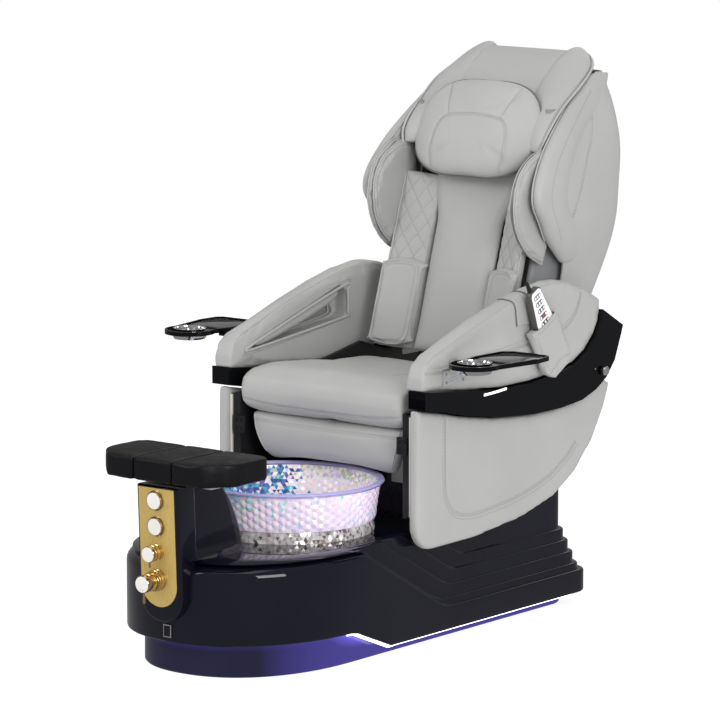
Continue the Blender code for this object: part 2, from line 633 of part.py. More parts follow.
def make_seat():
    section = [(SEAT_FRONT + 0.030, SEAT_BOTTOM), (SEAT_FRONT + 0.006, SEAT_BOTTOM + 0.025),
               (SEAT_FRONT, SEAT_BOTTOM + 0.065), (SEAT_FRONT + 0.010, SEAT_TOP - 0.022),
               (SEAT_FRONT + 0.045, SEAT_TOP - 0.002), (SEAT_FRONT + 0.10, SEAT_TOP),
               (0.20, 0.676), (SEAT_REAR, 0.655), (SEAT_REAR + 0.010, 0.600), (SEAT_REAR, SEAT_BOTTOM)]
    seat = flat_piece("seat_cushion", section, -SEAT_HALF_WIDTH, SEAT_HALF_WIDTH, LEATHER, "YZ")
    smooth(soften(seat, 0.020, 3, 50))

    front = -0.078
    section = [(front + 0.070, CALF_BOTTOM - 0.003), (front + 0.035, CALF_BOTTOM),
               (front + 0.008, CALF_BOTTOM + 0.035),
               (front, CALF_TOP - 0.050), (front + 0.004, CALF_TOP), (front + 0.072, CALF_TOP)]
    calf = flat_piece("calf_pad", section, -0.255, 0.255, LEATHER, "YZ")
    for vertex in calf.data.vertices:
        share = max(0.0, (CALF_TOP - vertex.co.z) / (CALF_TOP - CALF_BOTTOM))
        vertex.co.x *= 1 - 0.18 * share ** 1.5
    smooth(soften(calf, 0.014, 2, 50))

    x, low, high = 0.2715, 0.505, 0.545
    frame = box("seat_frame", (-x, 0.02, low), (x, 0.46, high), BLACK_STEEL)
    combine(frame, box("cut_frame", (-x + 0.03, 0.06, 0.4), (x - 0.03, 0.42, 0.6), None, CUTTERS),
            "DIFFERENCE")
    combine(frame, box("cross_bar", (-x, 0.215, low), (x, 0.255, high - 0.005), None, CUTTERS), "UNION")
    board = box("seat_board", (-0.262, 0.0, high - 0.001), (0.262, SEAT_REAR - 0.02, SEAT_BOTTOM - GAP),
                None, CUTTERS)
    combine(frame, board, "UNION")

    top = DECK_REAR_HEIGHT + RAIL_HEIGHT
    for centre in (RAIL_X, -RAIL_X):
        shoe = box("slide_shoe", (centre - 0.026, 0.14, top - 0.014), (centre + 0.026, 0.42, low + 0.001),
                   None, CUTTERS)
        channel = box("cut_shoe", (centre - 0.0155, 0.0, 0.3), (centre + 0.0155, 0.6, top + GAP), None,
                      CUTTERS)
        combine(shoe, channel, "DIFFERENCE")
        for spot in (0.195, 0.280, 0.365):
            gap = box("cut_web", (centre - 0.03, spot - 0.03, top + 0.012), (centre + 0.03, spot + 0.03,
                                                                             low - 0.012),
                      None, CUTTERS)
            combine(shoe, gap, "DIFFERENCE")
        combine(frame, shoe, "UNION")

    side = [(-0.090, 0.345), (0.10, 0.345), (0.44, 0.42), (0.545, 0.56), (0.545, 0.66), (0.44, 0.695),
            (0.15, 0.645), (-0.02, 0.622), (-0.090, 0.622)]
    frame = flat_piece("side_frame_right", side, FRAME_INNER, FRAME_OUTER, BLACK_STEEL, "YZ")
    hole = cylinder("cut_hinge", (0, *BACK_PIVOT), (1, *BACK_PIVOT), 0.0125, None, collection=CUTTERS)
    combine(frame, hole, "DIFFERENCE")
    plate = box("hinge_plate", (0.258, -0.098, 0.515), (0.290, -0.088, 0.560), None, CUTTERS)
    combine(frame, plate, "UNION")
    for x in (0.266, 0.282):
        for z in (0.526, 0.549):
            head = cylinder("screw", (x, -0.0975, z), (x, -0.1015, z), 0.0042, None, sides=10,
                            collection=CUTTERS)
            combine(frame, head, "UNION")
    post = box("front_post", (FRAME_INNER + 0.002, -0.0895, 0.350), (POST_OUTER, -0.030, 0.618), None,
               CUTTERS)
    combine(frame, post, "UNION")
    bracket = box("arm_bracket", (FRAME_INNER + 0.001, 0.530, 0.600), (POST_OUTER, 0.700, 0.658), None,
                  CUTTERS)
    combine(frame, bracket, "UNION")
    pin = cylinder("arm_pin", (0.2985, *ARM_PIVOT), (0.340, *ARM_PIVOT), 0.012, None, collection=CUTTERS)
    combine(frame, pin, "UNION")
    both_sides(frame)

    panel = [(ARM_FRONT, 0.634), (ARM_FRONT - 0.003, 0.500), (ARM_FRONT - 0.005, 0.345)]
    corner = 0.075
    for step in range(1, 7):
        angle = pi + pi / 2 * step / 6
        panel.append((ARM_FRONT - 0.005 + corner + corner * cos(angle), 0.263 + corner + corner * sin(angle)))
    panel += [(0.140, 0.265), (0.355, 0.286), (0.500, 0.320), (0.600, 0.372), (0.680, 0.446), (0.735, 0.530),
              (0.762, 0.592)]
    top = [(y, z - 0.004) for y, z in TRIM_BOTTOM]
    panel += [point for point in reversed(top) if point[0] < 0.765]
    panel = [point for index, point in enumerate(panel) if point not in panel[:index]]
    cover = flat_piece("lower_panel_right", panel, PANEL_INNER, PANEL_OUTER, LEATHER, "YZ")
    both_sides(smooth(soften(cover, 0.010, 2, 50)))


def make_armrests():
    outline = [(ARM_FRONT, 0.640), *TRIM_BOTTOM[1:], (0.752, 0.665), (0.782, 0.735), (0.790, 0.757),
               *reversed(TRIM_TOP[1:]), (ARM_FRONT, 0.688)]
    trim = flat_piece("armrest_trim_right", outline, 0.302, TRIM_OUTER, BLACK_GLOSS, "YZ")
    bore = cylinder("cut_pivot", (0.29, *ARM_PIVOT), (0.345, *ARM_PIVOT), 0.0125, None, collection=CUTTERS)
    combine(trim, bore, "DIFFERENCE")
    knob = cylinder("knob", (TRIM_OUTER - 0.005, *ARM_PIVOT), (TRIM_OUTER + 0.006, *ARM_PIVOT), 0.007, None,
                    sides=16, collection=CUTTERS)
    cap = cylinder("cap", (TRIM_OUTER + 0.005, *ARM_PIVOT), (TRIM_OUTER + 0.016, *ARM_PIVOT), 0.012, None,
                   end_radius=0.0105, sides=20, collection=CUTTERS)
    combine(trim, knob, "UNION")
    combine(trim, cap, "UNION")
    both_sides(trim)

    lower = [(y, z + 0.003) for y, z in TRIM_TOP[1:]]
    ridge = [(0.694, 0.838), (0.620, 0.878), (0.540, 0.904), (0.470, 0.911), (0.380, 0.901), (0.280, 0.880),
             (0.140, 0.842), (0.000, 0.799), (-0.055, 0.780), (-0.090, 0.757), (ARM_FRONT, 0.725)]
    outline = [(ARM_FRONT, 0.692), *lower, *ridge]
    pad = flat_piece("armrest_pad_right", outline, PAD_INNER, PAD_OUTER, LEATHER, "YZ")
    smooth(soften(pad, 0.014, 2, 50))
    slot = [(-0.02, 0.742), (0.36, 0.852), (0.385, 0.835), (0.385, 0.780), (0.36, 0.768), (-0.02, 0.730)]
    pocket = flat_piece("cut_sleeve", slot, PAD_INNER - 0.02, PAD_OUTER - 0.014, None, "YZ", CUTTERS)
    bpy.context.view_layer.update()
    evaluated = pad.evaluated_get(bpy.context.evaluated_depsgraph_get())
    mesh = bpy.data.meshes.new_from_object(evaluated)
    pad.modifiers.clear()
    pad.data = mesh
    combine(pad, pocket, "DIFFERENCE")
    both_sides(pad)


def make_trays():
    x, y = CUP_CENTRE
    low = TRAY_TOP - TRAY_THICKNESS
    outline = []
    around = 0.068
    for step in range(15):
        angle = radians(150) + radians(225) * step / 14
        outline.append((x + around * cos(angle), y + around * sin(angle)))
    outline += [(0.566, 0.100), (0.560, 0.158), (0.545, 0.172), (0.440, 0.172), (0.412, 0.150), (0.405, 0.04)]
    tray = flat_piece("tray_right", outline, low, TRAY_TOP, BLACK_GLOSS)
    rim = 0.005
    centre = Vector((0.485, 0.03))
    inner = []
    for px, py in outline:
        away = Vector((px, py)) - centre
        away *= 1 - rim / away.length * 1.3
        inner.append(tuple(centre + away))
    combine(tray, flat_piece("cut_tray", inner, low + 0.004, TRAY_TOP + 0.01, None, collection=CUTTERS),
            "DIFFERENCE")
    hole = cylinder("cut_cup", (x, y, 0.6), (x, y, 0.9), CUP_RADIUS + 0.0005, None, sides=28,
                    collection=CUTTERS)
    combine(tray, hole, "DIFFERENCE")
    ear = box("ear", (TRAY_HINGE_X + 0.0075, 0.012, low - 0.0105), (0.43, 0.032, low + 0.002), None, CUTTERS)
    combine(tray, ear, "UNION")
    ear = box("ear", (TRAY_HINGE_X - 0.007, 0.012, low - 0.0105), (TRAY_HINGE_X + 0.009, 0.032,
                                                                   low - 0.0005), None,
              CUTTERS)
    combine(tray, ear, "UNION")
    hole = cylinder("cut_eye", (TRAY_HINGE_X, 0.0, TRAY_HINGE_Z), (TRAY_HINGE_X, 0.05, TRAY_HINGE_Z),
                    0.0034, None,
                    sides=16, collection=CUTTERS)
    combine(tray, hole, "DIFFERENCE")
    both_sides(tray)

    rim_top = TRAY_TOP + 0.003
    bottom = low - 0.011
    inside, outside = CUP_RADIUS - 0.0045, CUP_RADIUS - GAP
    profile = [(0.0, bottom + 0.002), (inside, bottom + 0.002), (inside, rim_top), (outside, rim_top),
               (outside, bottom + 0.004), (outside - 0.003, bottom), (0.0, bottom)]
    cup = smooth(turned("cup_holder_right", profile, CUP_CENTRE, CHROME, 28))
    both_sides(cup)

    bracket = box("tray_bracket_right", (PAD_OUTER + 0.0006, -0.024, 0.694), (PAD_OUTER + 0.0036, 0.068,
                                                                              0.732),
                  STEEL)
    for sy in (-0.014, 0.058):
        for sz in (0.702, 0.724):
            head = cylinder("screw", (PAD_OUTER + 0.003, sy, sz), (PAD_OUTER + 0.0062, sy, sz), 0.0040,
                            None, sides=12,
                            collection=CUTTERS)
            combine(bracket, head, "UNION")
    for start, end in ((0.002, 0.0116), (0.0324, 0.042)):
        fork = box("fork", (PAD_OUTER + 0.002, start, 0.722), (TRAY_HINGE_X + 0.006, end,
                                                               TRAY_HINGE_Z + 0.0055), None,
                   CUTTERS)
        combine(bracket, fork, "UNION")
    pin = cylinder("tray_pin", (TRAY_HINGE_X, 0.010, TRAY_HINGE_Z), (TRAY_HINGE_X, 0.034, TRAY_HINGE_Z),
                   0.0031, None,
                   sides=12, collection=CUTTERS)
    combine(bracket, pin, "UNION")
    both_sides(bracket)


# ---------------------------------------------------------------- backrest

def shell_ring(front, rear, height, half_width, pinch, columns=20):
    """One level of the back shell: a rounded U, from one front edge round the rear to the other."""
    ring = []
    for step in range(columns + 1):
        angle = pi * step / columns
        across = cos(angle)
        along = sin(angle)
        side = half_width * (1 - pinch * (1 - along) ** 2)
        x = side * (1 if across >= 0 else -1) * abs(across) ** 0.36
        ring.append((x, front + (rear - front) * along ** 0.46, height))
    return ring


def make_back_shell():
    stations = smooth_path(SHELL_STATIONS, 2)
    rows = [shell_ring(*station) for station in stations]
    work = bmesh.new()
    grid = [[work.verts.new(point) for point in row] for row in rows]
    for lower, upper in zip(grid, grid[1:]):
        for a, b, c, d in zip(lower, lower[1:], upper[1:], upper):
            work.faces.new((a, b, c, d))
    shell = from_bmesh("back_shell", work, LEATHER)
    centre = Vector((0, 0.7, 1.05))
    outward = sum((face.center - centre).dot(face.normal) for face in shell.data.polygons)
    if outward < 0:
        shell.data.flip_normals()
    skin = shell.modifiers.new("wall", "SOLIDIFY")
    skin.thickness = 0.006
    skin.offset = -1
    smooth(shell)


def make_bolsters():
    """The padded lip along the shell's front edge."""
    lip = 0.035
    for sign, side_name in ((1, "right"), (-1, "left")):
        loops = []
        for front, _, z, half_width, pinch in smooth_path(SHELL_STATIONS, 2)[6:]:
            outer = half_width * (1 - pinch) - 0.001
            inner = outer - 0.018
            ahead = front - GAP
            section = ((inner, ahead), (outer, ahead), (outer, ahead - lip * 0.5),
                       (outer - 0.006, ahead - lip),
                       (inner + 0.004, ahead - lip), (inner, ahead - lip * 0.6))
            loops.append([(sign * x, y, z) for x, y in section])
        smooth(loft("side_bolster_" + side_name, loops, LEATHER))


def hood_narrowing(z):
    low, high = HOOD_SHOULDER
    share = min(max((z - low) / (high - low), 0), 1)
    return 1 - 0.25 * share


def make_backrest():
    make_back_shell()
    make_bolsters()
    face = smooth_path(BACK_FACE, 2)
    pad_along("back_centre_panel", face, -CENTRE_PANEL_HALF, CENTRE_PANEL_HALF, 0.030, LEATHER, -0.030)
    lumbar = [point for point in face if point[1] < 0.93]
    quilt = [point for point in face if point[1] < 1.146]
    for side_name, sign in (("right", 1), ("left", -1)):
        inner, outer = CENTRE_PANEL_HALF + 0.0005, QUILT_OUTER
        left, right = sorted((sign * inner, sign * outer))
        pad_along("quilted_panel_" + side_name, quilt, left, right, 0.030, LEATHER, -0.030, 0.045)
        left, right = sorted((sign * (inner + 0.004), sign * (outer + 0.006)))
        pad_along("lumbar_pad_" + side_name, lumbar, left, right, 0.016, LEATHER, 0.0030, 0.045)

    hood = smooth_path(HOOD_FACE, 2)
    pad_along("hood_cushion", hood, -0.205, 0.205, 0.030, LEATHER, -0.030, narrowing=hood_narrowing)
    flap = [point for point in hood if point[1] > 1.360]
    pad_along("hood_flap", flap, -0.148, 0.148, 0.006, LEATHER, GAP)
    pillow = smooth_path(((0.586, 1.138), (0.618, 1.206), (0.652, 1.280), (0.686, 1.352), (0.704, 1.392)), 2)
    pad_along("headrest_pillow", pillow, -0.200, 0.200, 0.067, LEATHER, 0.0220)

    wing = [(0.558, 0.932), (0.505, 0.958), (0.452, 1.012), (0.426, 1.080), (0.432, 1.150), (0.466, 1.208),
            (0.528, 1.246), (0.585, 1.255), (0.626, 1.232), (0.640, 1.130), (0.600, 1.020), (0.572, 0.955)]
    piece = flat_piece("shoulder_wing_right", wing, WING_SPAN[0], WING_SPAN[1], LEATHER, "YZ")
    both_sides(smooth(soften(piece, 0.010, 2, 50)))

    spine = ((0.560, 0.612), (0.600, 0.680), (0.640, 0.800), (0.690, 0.960), (0.740, 1.120), (0.800, 1.280))
    frame = cylinder("back_frame", (-0.296, *BACK_PIVOT), (0.296, *BACK_PIVOT), 0.0116, BLACK_STEEL)
    for sign in (1, -1):
        upright = tube("upright", [(sign * 0.175, y, z) for y, z in spine], 0.011, None, 1)
        combine(frame, upright, "UNION")
        web = box("web", (sign * 0.175 - 0.006, 0.490, 0.592), (sign * 0.175 + 0.006, 0.575, 0.626), None,
                  CUTTERS)
        combine(frame, web, "UNION")
    for y, z in (spine[2], spine[5]):
        bar = cylinder("bar", (-0.175, y, z), (0.175, y, z), 0.009, None, sides=16, collection=CUTTERS)
        combine(frame, bar, "UNION")

    middle = Vector((0, 0.715, 1.040))
    travel = Vector((0, 0.300, 0.954))
    turn = Matrix.Rotation(-atan2(travel.y, travel.z), 4, "X")
    carriage = box("massage_carriage", (-0.150, -0.012, -0.060), (0.150, 0.012, 0.060), BLACK_STEEL)
    for x in (-0.060, 0.060):
        post = box("post", (x - 0.008, -0.050, -0.012), (x + 0.008, -0.010, 0.012), None, CUTTERS)
        combine(carriage, post, "UNION")
    carriage.data.transform(Matrix.Translation(middle) @ turn)
    for sign, side_name in ((1, "right"), (-1, "left")):
        x = sign * 0.060
        arm = box("kneading_arm_" + side_name, (x - sign * 0.0085 - 0.0, -0.058, -0.050),
                  (x - sign * 0.0165, -0.040, 0.050), BLACK_STEEL)
        for end in (-0.045, 0.045):
            ball = cylinder("ball", (x - sign * 0.010, -0.064, end), (x - sign * 0.032, -0.064, end), 0.020,
                            None, collection=CUTTERS)
            combine(arm, ball, "UNION")
        arm.data.transform(Matrix.Translation(middle) @ turn)


# ---------------------------------------------------------------- remote control

def pocket_frame(u, v):
    """Y and Z of a point u across and v along the pocket, measured from its mouth."""
    lean = radians(POCKET_LEAN)
    return (POCKET_MOUTH[0] + u * cos(lean) - v * sin(lean), POCKET_MOUTH[1] + u * sin(lean) + v * cos(lean))


def make_remote():
    back, face = REMOTE_SPAN
    wide = REMOTE_HALF_WIDTH
    outline = [(-wide, -0.092), (wide, -0.092), (wide, 0.0), (0.024, 0.100), (-0.024, 0.100), (-wide, 0.0)]
    body = flat_piece("remote_body", [pocket_frame(*point) for point in outline], back, face, GREY_PLASTIC,
                      "YZ")
    keys = [(-wide + 0.006, -0.060), (wide - 0.006, -0.060), (wide - 0.006, 0.0), (0.020, 0.094),
            (-0.020, 0.094),
            (-wide + 0.006, 0.0)]
    flat_piece("remote_keypad", [pocket_frame(*point) for point in keys], face + GAP * 0.75, face + 0.0016,
               WHITE_PLASTIC, "YZ")
    middle = (back + face) / 2
    start, end = pocket_frame(-0.010, 0.098), pocket_frame(-0.012, 0.132)
    boot = cylinder("boot", (middle, *start), (middle, *end), 0.0075, None, end_radius=0.0045, sides=12,
                    collection=CUTTERS)
    combine(body, boot, "UNION")

    half, deep = POCKET_HALF_WIDTH, POCKET_DEPTH
    outline = [(-half, 0.0), (-half + 0.008, -deep + 0.03), (-half + 0.035, -deep), (half - 0.030, -deep),
               (half - 0.006, -deep + 0.03), (half - 0.012, 0.0)]
    pocket = flat_piece("remote_pocket", [pocket_frame(*point) for point in outline], TRIM_OUTER + 0.0035,
                        face + 0.009, LEATHER, "YZ")
    room = wide + 0.0008
    cavity = [(-room, -0.0935), (room, -0.0935), (room, 0.05), (-room, 0.05)]
    hollow = flat_piece("cut_pocket", [pocket_frame(*point) for point in cavity], back - 0.0008,
                        face + 0.0035, None,
                        "YZ", CUTTERS)
    combine(pocket, hollow, "DIFFERENCE")


make_base()
make_basin()
make_column()
make_seat()
make_armrests()
make_trays()
make_backrest()
make_remote()
for leftover in list(CUTTERS.objects):
    leftover.hide_render = True
    leftover.display_type = "WIRE"
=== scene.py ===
"""Looks of the pedicure spa chair: upholstery, gloss shell, crystal basin, metal and lights.

Metres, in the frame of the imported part: the sitter faces -Y and +Z is up. Pieces named right are
at +X. Most soft pieces start from their CAD solid, which is remeshed, inflated by a cloth
simulation and then given its seams and stitches. The headrest, hood, side lips and back shell are
lattices built from their own stations.
"""

import random
from math import atan2, cos, pi, radians, sin, sqrt

import bmesh
import bpy
import numpy as np
from mathutils import Matrix, Vector
from mathutils.bvhtree import BVHTree
from mathutils.kdtree import KDTree

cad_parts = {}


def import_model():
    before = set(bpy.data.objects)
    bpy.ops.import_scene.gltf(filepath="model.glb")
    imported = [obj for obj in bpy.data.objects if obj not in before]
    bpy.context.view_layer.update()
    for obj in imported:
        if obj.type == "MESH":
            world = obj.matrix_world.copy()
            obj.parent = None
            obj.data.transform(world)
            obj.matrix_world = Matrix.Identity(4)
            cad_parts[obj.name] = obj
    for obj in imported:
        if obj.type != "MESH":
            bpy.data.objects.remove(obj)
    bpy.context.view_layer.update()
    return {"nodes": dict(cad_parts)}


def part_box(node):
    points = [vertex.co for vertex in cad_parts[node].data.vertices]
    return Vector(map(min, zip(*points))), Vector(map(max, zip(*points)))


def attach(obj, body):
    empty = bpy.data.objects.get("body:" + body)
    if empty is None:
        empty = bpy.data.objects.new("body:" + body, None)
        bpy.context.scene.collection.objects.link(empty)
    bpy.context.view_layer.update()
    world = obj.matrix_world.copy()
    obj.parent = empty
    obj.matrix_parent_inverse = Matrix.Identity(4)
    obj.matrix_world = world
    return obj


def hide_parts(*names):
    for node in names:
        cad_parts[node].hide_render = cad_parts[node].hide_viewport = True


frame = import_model()
random.seed(7)

SIDES = (("right", 1), ("left", -1))
UP = Vector((0, 0, 1))


# ---------------------------------------------------------------- node materials

class Look:
    """A node material while it is being made."""

    def __init__(self, name, colour, roughness, metallic=0.0):
        self.material = bpy.data.materials.new(name)
        self.material.use_nodes = True
        self.tree = self.material.node_tree
        self.shader = self.tree.nodes["Principled BSDF"]
        self.colour = (*colour, 1.0)
        self.put("Base Color", self.colour)
        self.put("Roughness", roughness)
        self.put("Metallic", metallic)
        self.material.diffuse_color = self.colour
        self.place = self.tree.nodes.new("ShaderNodeTexCoord").outputs["Object"]

    def put(self, name, value):
        """Set a shader input, or feed it from a socket."""
        if isinstance(value, bpy.types.NodeSocket):
            self.tree.links.new(value, self.shader.inputs[name])
        else:
            self.shader.inputs[name].default_value = value
        return self

    def node(self, kind, output, **values):
        """A node whose inputs are given by name (spaces as _). Returns its output socket."""
        made = self.tree.nodes.new("ShaderNode" + kind)
        for name, value in values.items():
            if hasattr(made, name):
                setattr(made, name, value)
                continue
            socket = made.inputs[name.replace("_", " ")]
            if isinstance(value, bpy.types.NodeSocket):
                self.tree.links.new(value, socket)
            else:
                socket.default_value = value
        return made.outputs[output]

    def stretched(self, scale):
        return self.node("Mapping", "Vector", Vector=self.place, Scale=scale)

    def noise(self, scale, detail=4.0, where=None, rough=0.5):
        return self.node("TexNoise", "Fac", Vector=where or self.place, Scale=scale, Detail=detail,
                         Roughness=rough)

    def ramp(self, factor, stops):
        """Colour or grey stops as (position, colour)."""
        made = self.tree.nodes.new("ShaderNodeValToRGB")
        self.tree.links.new(factor, made.inputs["Fac"])
        points = made.color_ramp.elements
        while len(points) < len(stops):
            points.new(0.5)
        for point, (position, colour) in zip(points, stops):
            point.position = position
            point.color = (colour,) * 3 + (1.0,) if isinstance(colour, float) else (*colour, 1.0)
        return made.outputs["Color"]

    def vary(self, factor, spread):
        """Make the base colour a little darker and lighter with a 0 to 1 factor."""
        low = tuple(channel * (1 - spread) for channel in self.colour[:3])
        high = tuple(min(1.0, channel * (1 + spread)) for channel in self.colour[:3])
        return self.put("Base Color", self.ramp(factor, ((0.3, low), (0.7, high))))

    def roughen(self, factor, low, high):
        return self.put("Roughness", self.ramp(factor, ((0.3, low), (0.7, high))))

    def bump(self, *layers):
        """Bump from (height socket, distance in metres) layers, coarse ones first."""
        normal = None
        for height, distance in layers:
            values = {"Height": height, "Distance": distance, "Strength": 1.0}
            if normal:
                values["Normal"] = normal
            normal = self.node("Bump", "Normal", **values)
        return self.put("Normal", normal)


def leather(name, colour, roughness=0.42, grain=0.00016):
    """Coated upholstery: pebbled grain, pores, soft creases and faint colour drift."""
    look = Look(name, colour, roughness)
    pebbles = look.node("TexVoronoi", "Distance", Vector=look.place, Scale=620.0, Randomness=0.9)
    pores = look.noise(1500.0, 2.0)
    creases = look.noise(26.0, 6.0, rough=0.6)
    look.bump((creases, 0.0005), (pebbles, grain), (pores, grain * 0.4))
    look.vary(look.noise(5.0, 3.0), 0.035)
    look.roughen(look.noise(40.0, 5.0), roughness - 0.05, roughness + 0.06)
    look.put("Specular IOR Level", 0.42)
    look.put("Sheen Weight", 0.08)
    look.put("Sheen Roughness", 0.5)
    return look.material


def thread(name, colour):
    """Twisted sewing thread."""
    look = Look(name, colour, 0.65)
    look.bump((look.node("TexWave", "Fac", Vector=look.place, Scale=900.0, Distortion=2.0), 0.0002))
    look.vary(look.noise(300.0), 0.10)
    return look.material


def gloss(name, colour, roughness=0.06, specular=0.34, ripple=0.00004, coat=0.9):
    """Polished moulded shell: clear coat over colour, with faint ripple, haze and dust."""
    look = Look(name, colour, roughness)
    look.put("Specular IOR Level", specular)
    look.put("Coat Weight", coat)
    look.put("Coat Roughness", 0.02)
    look.bump((look.noise(9.0, 2.0), ripple * 8), (look.noise(240.0, 3.0), ripple * 0.4))
    look.roughen(look.noise(14.0, 6.0), roughness, roughness + 0.07)
    look.vary(look.noise(3.0), 0.15)
    return look.material


def vinyl(name, colour, roughness):
    look = Look(name, colour, roughness)
    look.bump((look.noise(30.0, 5.0), 0.0008),
              (look.node("TexVoronoi", "Distance", Vector=look.place, Scale=520.0), 0.00018))
    look.roughen(look.noise(22.0, 5.0), roughness - 0.05, roughness + 0.1)
    look.vary(look.noise(6.0), 0.12)
    look.put("Specular IOR Level", 0.20)
    return look.material


def metal(name, colour, roughness, brushed=None):
    """Polished metal, or brushed along the axis whose scale in brushed is small."""
    look = Look(name, colour, roughness, 1.0)
    if brushed:
        lines = look.noise(1.0, 8.0, look.stretched(brushed), 0.7)
        look.bump((lines, 0.00006))
        look.roughen(lines, roughness - 0.07, roughness + 0.12)
        look.vary(lines, 0.10)
        look.put("Metallic", 0.5)
    else:
        look.bump((look.noise(60.0, 3.0), 0.00003))
        look.roughen(look.noise(35.0, 5.0), roughness, roughness + 0.06)
        look.vary(look.noise(12.0), 0.05)
    return look.material


def plastic(name, colour, roughness, grain=0.00008):
    look = Look(name, colour, roughness)
    look.bump((look.noise(900.0, 2.0), grain))
    look.roughen(look.noise(30.0), roughness - 0.04, roughness + 0.06)
    look.vary(look.noise(8.0), 0.05)
    return look.material


def powder_coat(name, colour):
    look = Look(name, colour, 0.42, 0.2)
    look.bump((look.noise(420.0, 3.0), 0.00012))
    look.roughen(look.noise(20.0), 0.36, 0.52)
    look.vary(look.noise(10.0), 0.2)
    return look.material


def facets(name, roughness, metallic=0.0, glow=0.0, clear=0.0):
    """Cut resin: every facet has its own colour, stored with the mesh as tint."""
    look = Look(name, (0.9, 0.85, 0.95), roughness, metallic)
    tint = look.node("Attribute", "Color", attribute_name="tint")
    fine = look.noise(90.0, 4.0)
    mixed = look.node("HueSaturation", "Color", Color=tint, Hue=look.node(
        "MapRange", "Result", Value=fine, To_Min=0.44, To_Max=0.56))
    look.put("Base Color", mixed)
    # the emission is painted glow: the resin itself gives no light
    look.put("Emission Color", mixed)
    look.put("Emission Strength", glow)
    look.put("Transmission Weight", clear)
    look.put("Coat Weight", 0.8)
    look.put("Coat Roughness", 0.03)
    look.bump((fine, 0.0003))
    return look.material


def glowing(name, colour, strength, dark=0.0):
    """A lit strip. Small beads along it are brighter."""
    look = Look(name, colour, 0.3)
    beads = look.node("TexVoronoi", "Distance", Vector=look.place, Scale=60.0)
    level = look.node("MapRange", "Result", Value=beads, From_Max=0.7, To_Min=strength,
                      To_Max=strength * 0.6 + dark)
    look.put("Emission Color", (*colour, 1.0))
    look.put("Emission Strength", level)
    return look.material


def smoked(name, colour, clear, roughness=0.04):
    look = Look(name, colour, roughness)
    look.put("Transmission Weight", clear)
    look.put("IOR", 1.45)
    look.bump((look.noise(40.0, 3.0), 0.00005))
    look.roughen(look.noise(25.0), roughness, roughness + 0.05)
    return look.material


def lit_plinth(name, top):
    """Dark blue plinth with the light strip's glow on it painted as emission: brighter at its top, its sides
    and its step.
    """
    look = Look(name, (0.010, 0.009, 0.035), 0.2)
    split = look.node("SeparateXYZ", "Z", Vector=look.place)
    side = look.node("Math", "Value", operation="ABSOLUTE")
    look.tree.links.new(split.node.outputs["X"], side.node.inputs[0])
    up = look.node("MapRange", "Result", Value=split, From_Min=top * 0.70, From_Max=top, To_Min=0.0,
                   To_Max=0.16)
    out = look.node("MapRange", "Result", Value=side, From_Min=0.190, From_Max=0.270, To_Min=0.0,
                    To_Max=0.28)
    both = look.node("Math", "Value", operation="ADD")
    look.tree.links.new(up, both.node.inputs[0])
    look.tree.links.new(out, both.node.inputs[1])
    fold = look.node("CombineXYZ", "Vector")
    look.tree.links.new(side, fold.node.inputs["X"])
    squeezed = look.node("Math", "Value", operation="MULTIPLY")
    look.tree.links.new(split.node.outputs["Y"], squeezed.node.inputs[0])
    squeezed.node.inputs[1].default_value = 0.5
    look.tree.links.new(squeezed, fold.node.inputs["Y"])
    look.tree.links.new(split, fold.node.inputs["Z"])
    reach = look.node("VectorMath", "Value", operation="DISTANCE")
    look.tree.links.new(fold, reach.node.inputs[0])
    reach.node.inputs[1].default_value = (0.270, -0.130, top + 0.015)
    # painted pool of the strip's light where the skirt steps up
    near = look.node("MapRange", "Result", Value=reach, From_Min=0.075, From_Max=0.0, To_Min=0.0,
                     To_Max=1.5)
    total = look.node("Math", "Value", operation="ADD")
    look.tree.links.new(both, total.node.inputs[0])
    look.tree.links.new(near, total.node.inputs[1])
    look.put("Emission Color", (0.16, 0.12, 0.80, 1.0))
    look.put("Emission Strength", total)
    look.bump((look.noise(20.0), 0.0004))
    look.vary(look.noise(6.0), 0.2)
    return look.material


GREY = leather("grey_leather", (0.385, 0.387, 0.378))
# the grey leather darkened: painted shade for the linings in recesses
SHADED_GREY = leather("grey_leather_inner", (0.235, 0.238, 0.246), 0.45)
PIPING = leather("piping_leather", (0.400, 0.402, 0.395), 0.38, 0.00008)
THREAD = thread("grey_thread", (0.30, 0.30, 0.295))
# darker thread as painted shadow along the headrest's piping and the strap's edges
PAINTED_SHADOW_THREAD = thread("shadow_thread", (0.16, 0.16, 0.165))
BLACK = gloss("black_gloss", (0.0035, 0.0038, 0.0085), 0.05, 0.05)
TRIM_BLACK = gloss("trim_black_gloss", (0.0022, 0.0024, 0.0032), 0.05, 0.05, coat=0.4)
VINYL = vinyl("black_vinyl", (0.0055, 0.0052, 0.0070), 0.30)
# a lighter, rougher copy of the black vinyl for faces that point up: its lighter colour is painted sheen
VINYL_PAINTED_SHEEN = vinyl("black_vinyl_top", (0.012, 0.0105, 0.0100), 0.42)
GOLD = metal("brushed_gold", (0.74, 0.53, 0.175), 0.30, (900.0, 900.0, 18.0))
POLISHED_GOLD = metal("polished_gold", (0.74, 0.56, 0.29), 0.10)
CHROME = metal("chrome", (0.86, 0.86, 0.87), 0.07)
PEARL = plastic("pearl_button_face", (0.72, 0.70, 0.67), 0.22, 0.00002)
STEEL = metal("satin_steel", (0.58, 0.585, 0.60), 0.28, (500.0, 20.0, 500.0))
DARK_STEEL = powder_coat("black_powder_coat", (0.012, 0.012, 0.014))
CRYSTAL = facets("crystal", 0.06, 0.0, 0.06, 0.06)
FOOT_CRYSTAL = facets("foot_crystal", 0.05, 0.25, 0.03, 0.15)
RIM = smoked("lilac_rim", (0.60, 0.58, 0.96), 0.45, 0.05)
SMOKED = smoked("smoked_insert", (0.30, 0.30, 0.31), 0.7)
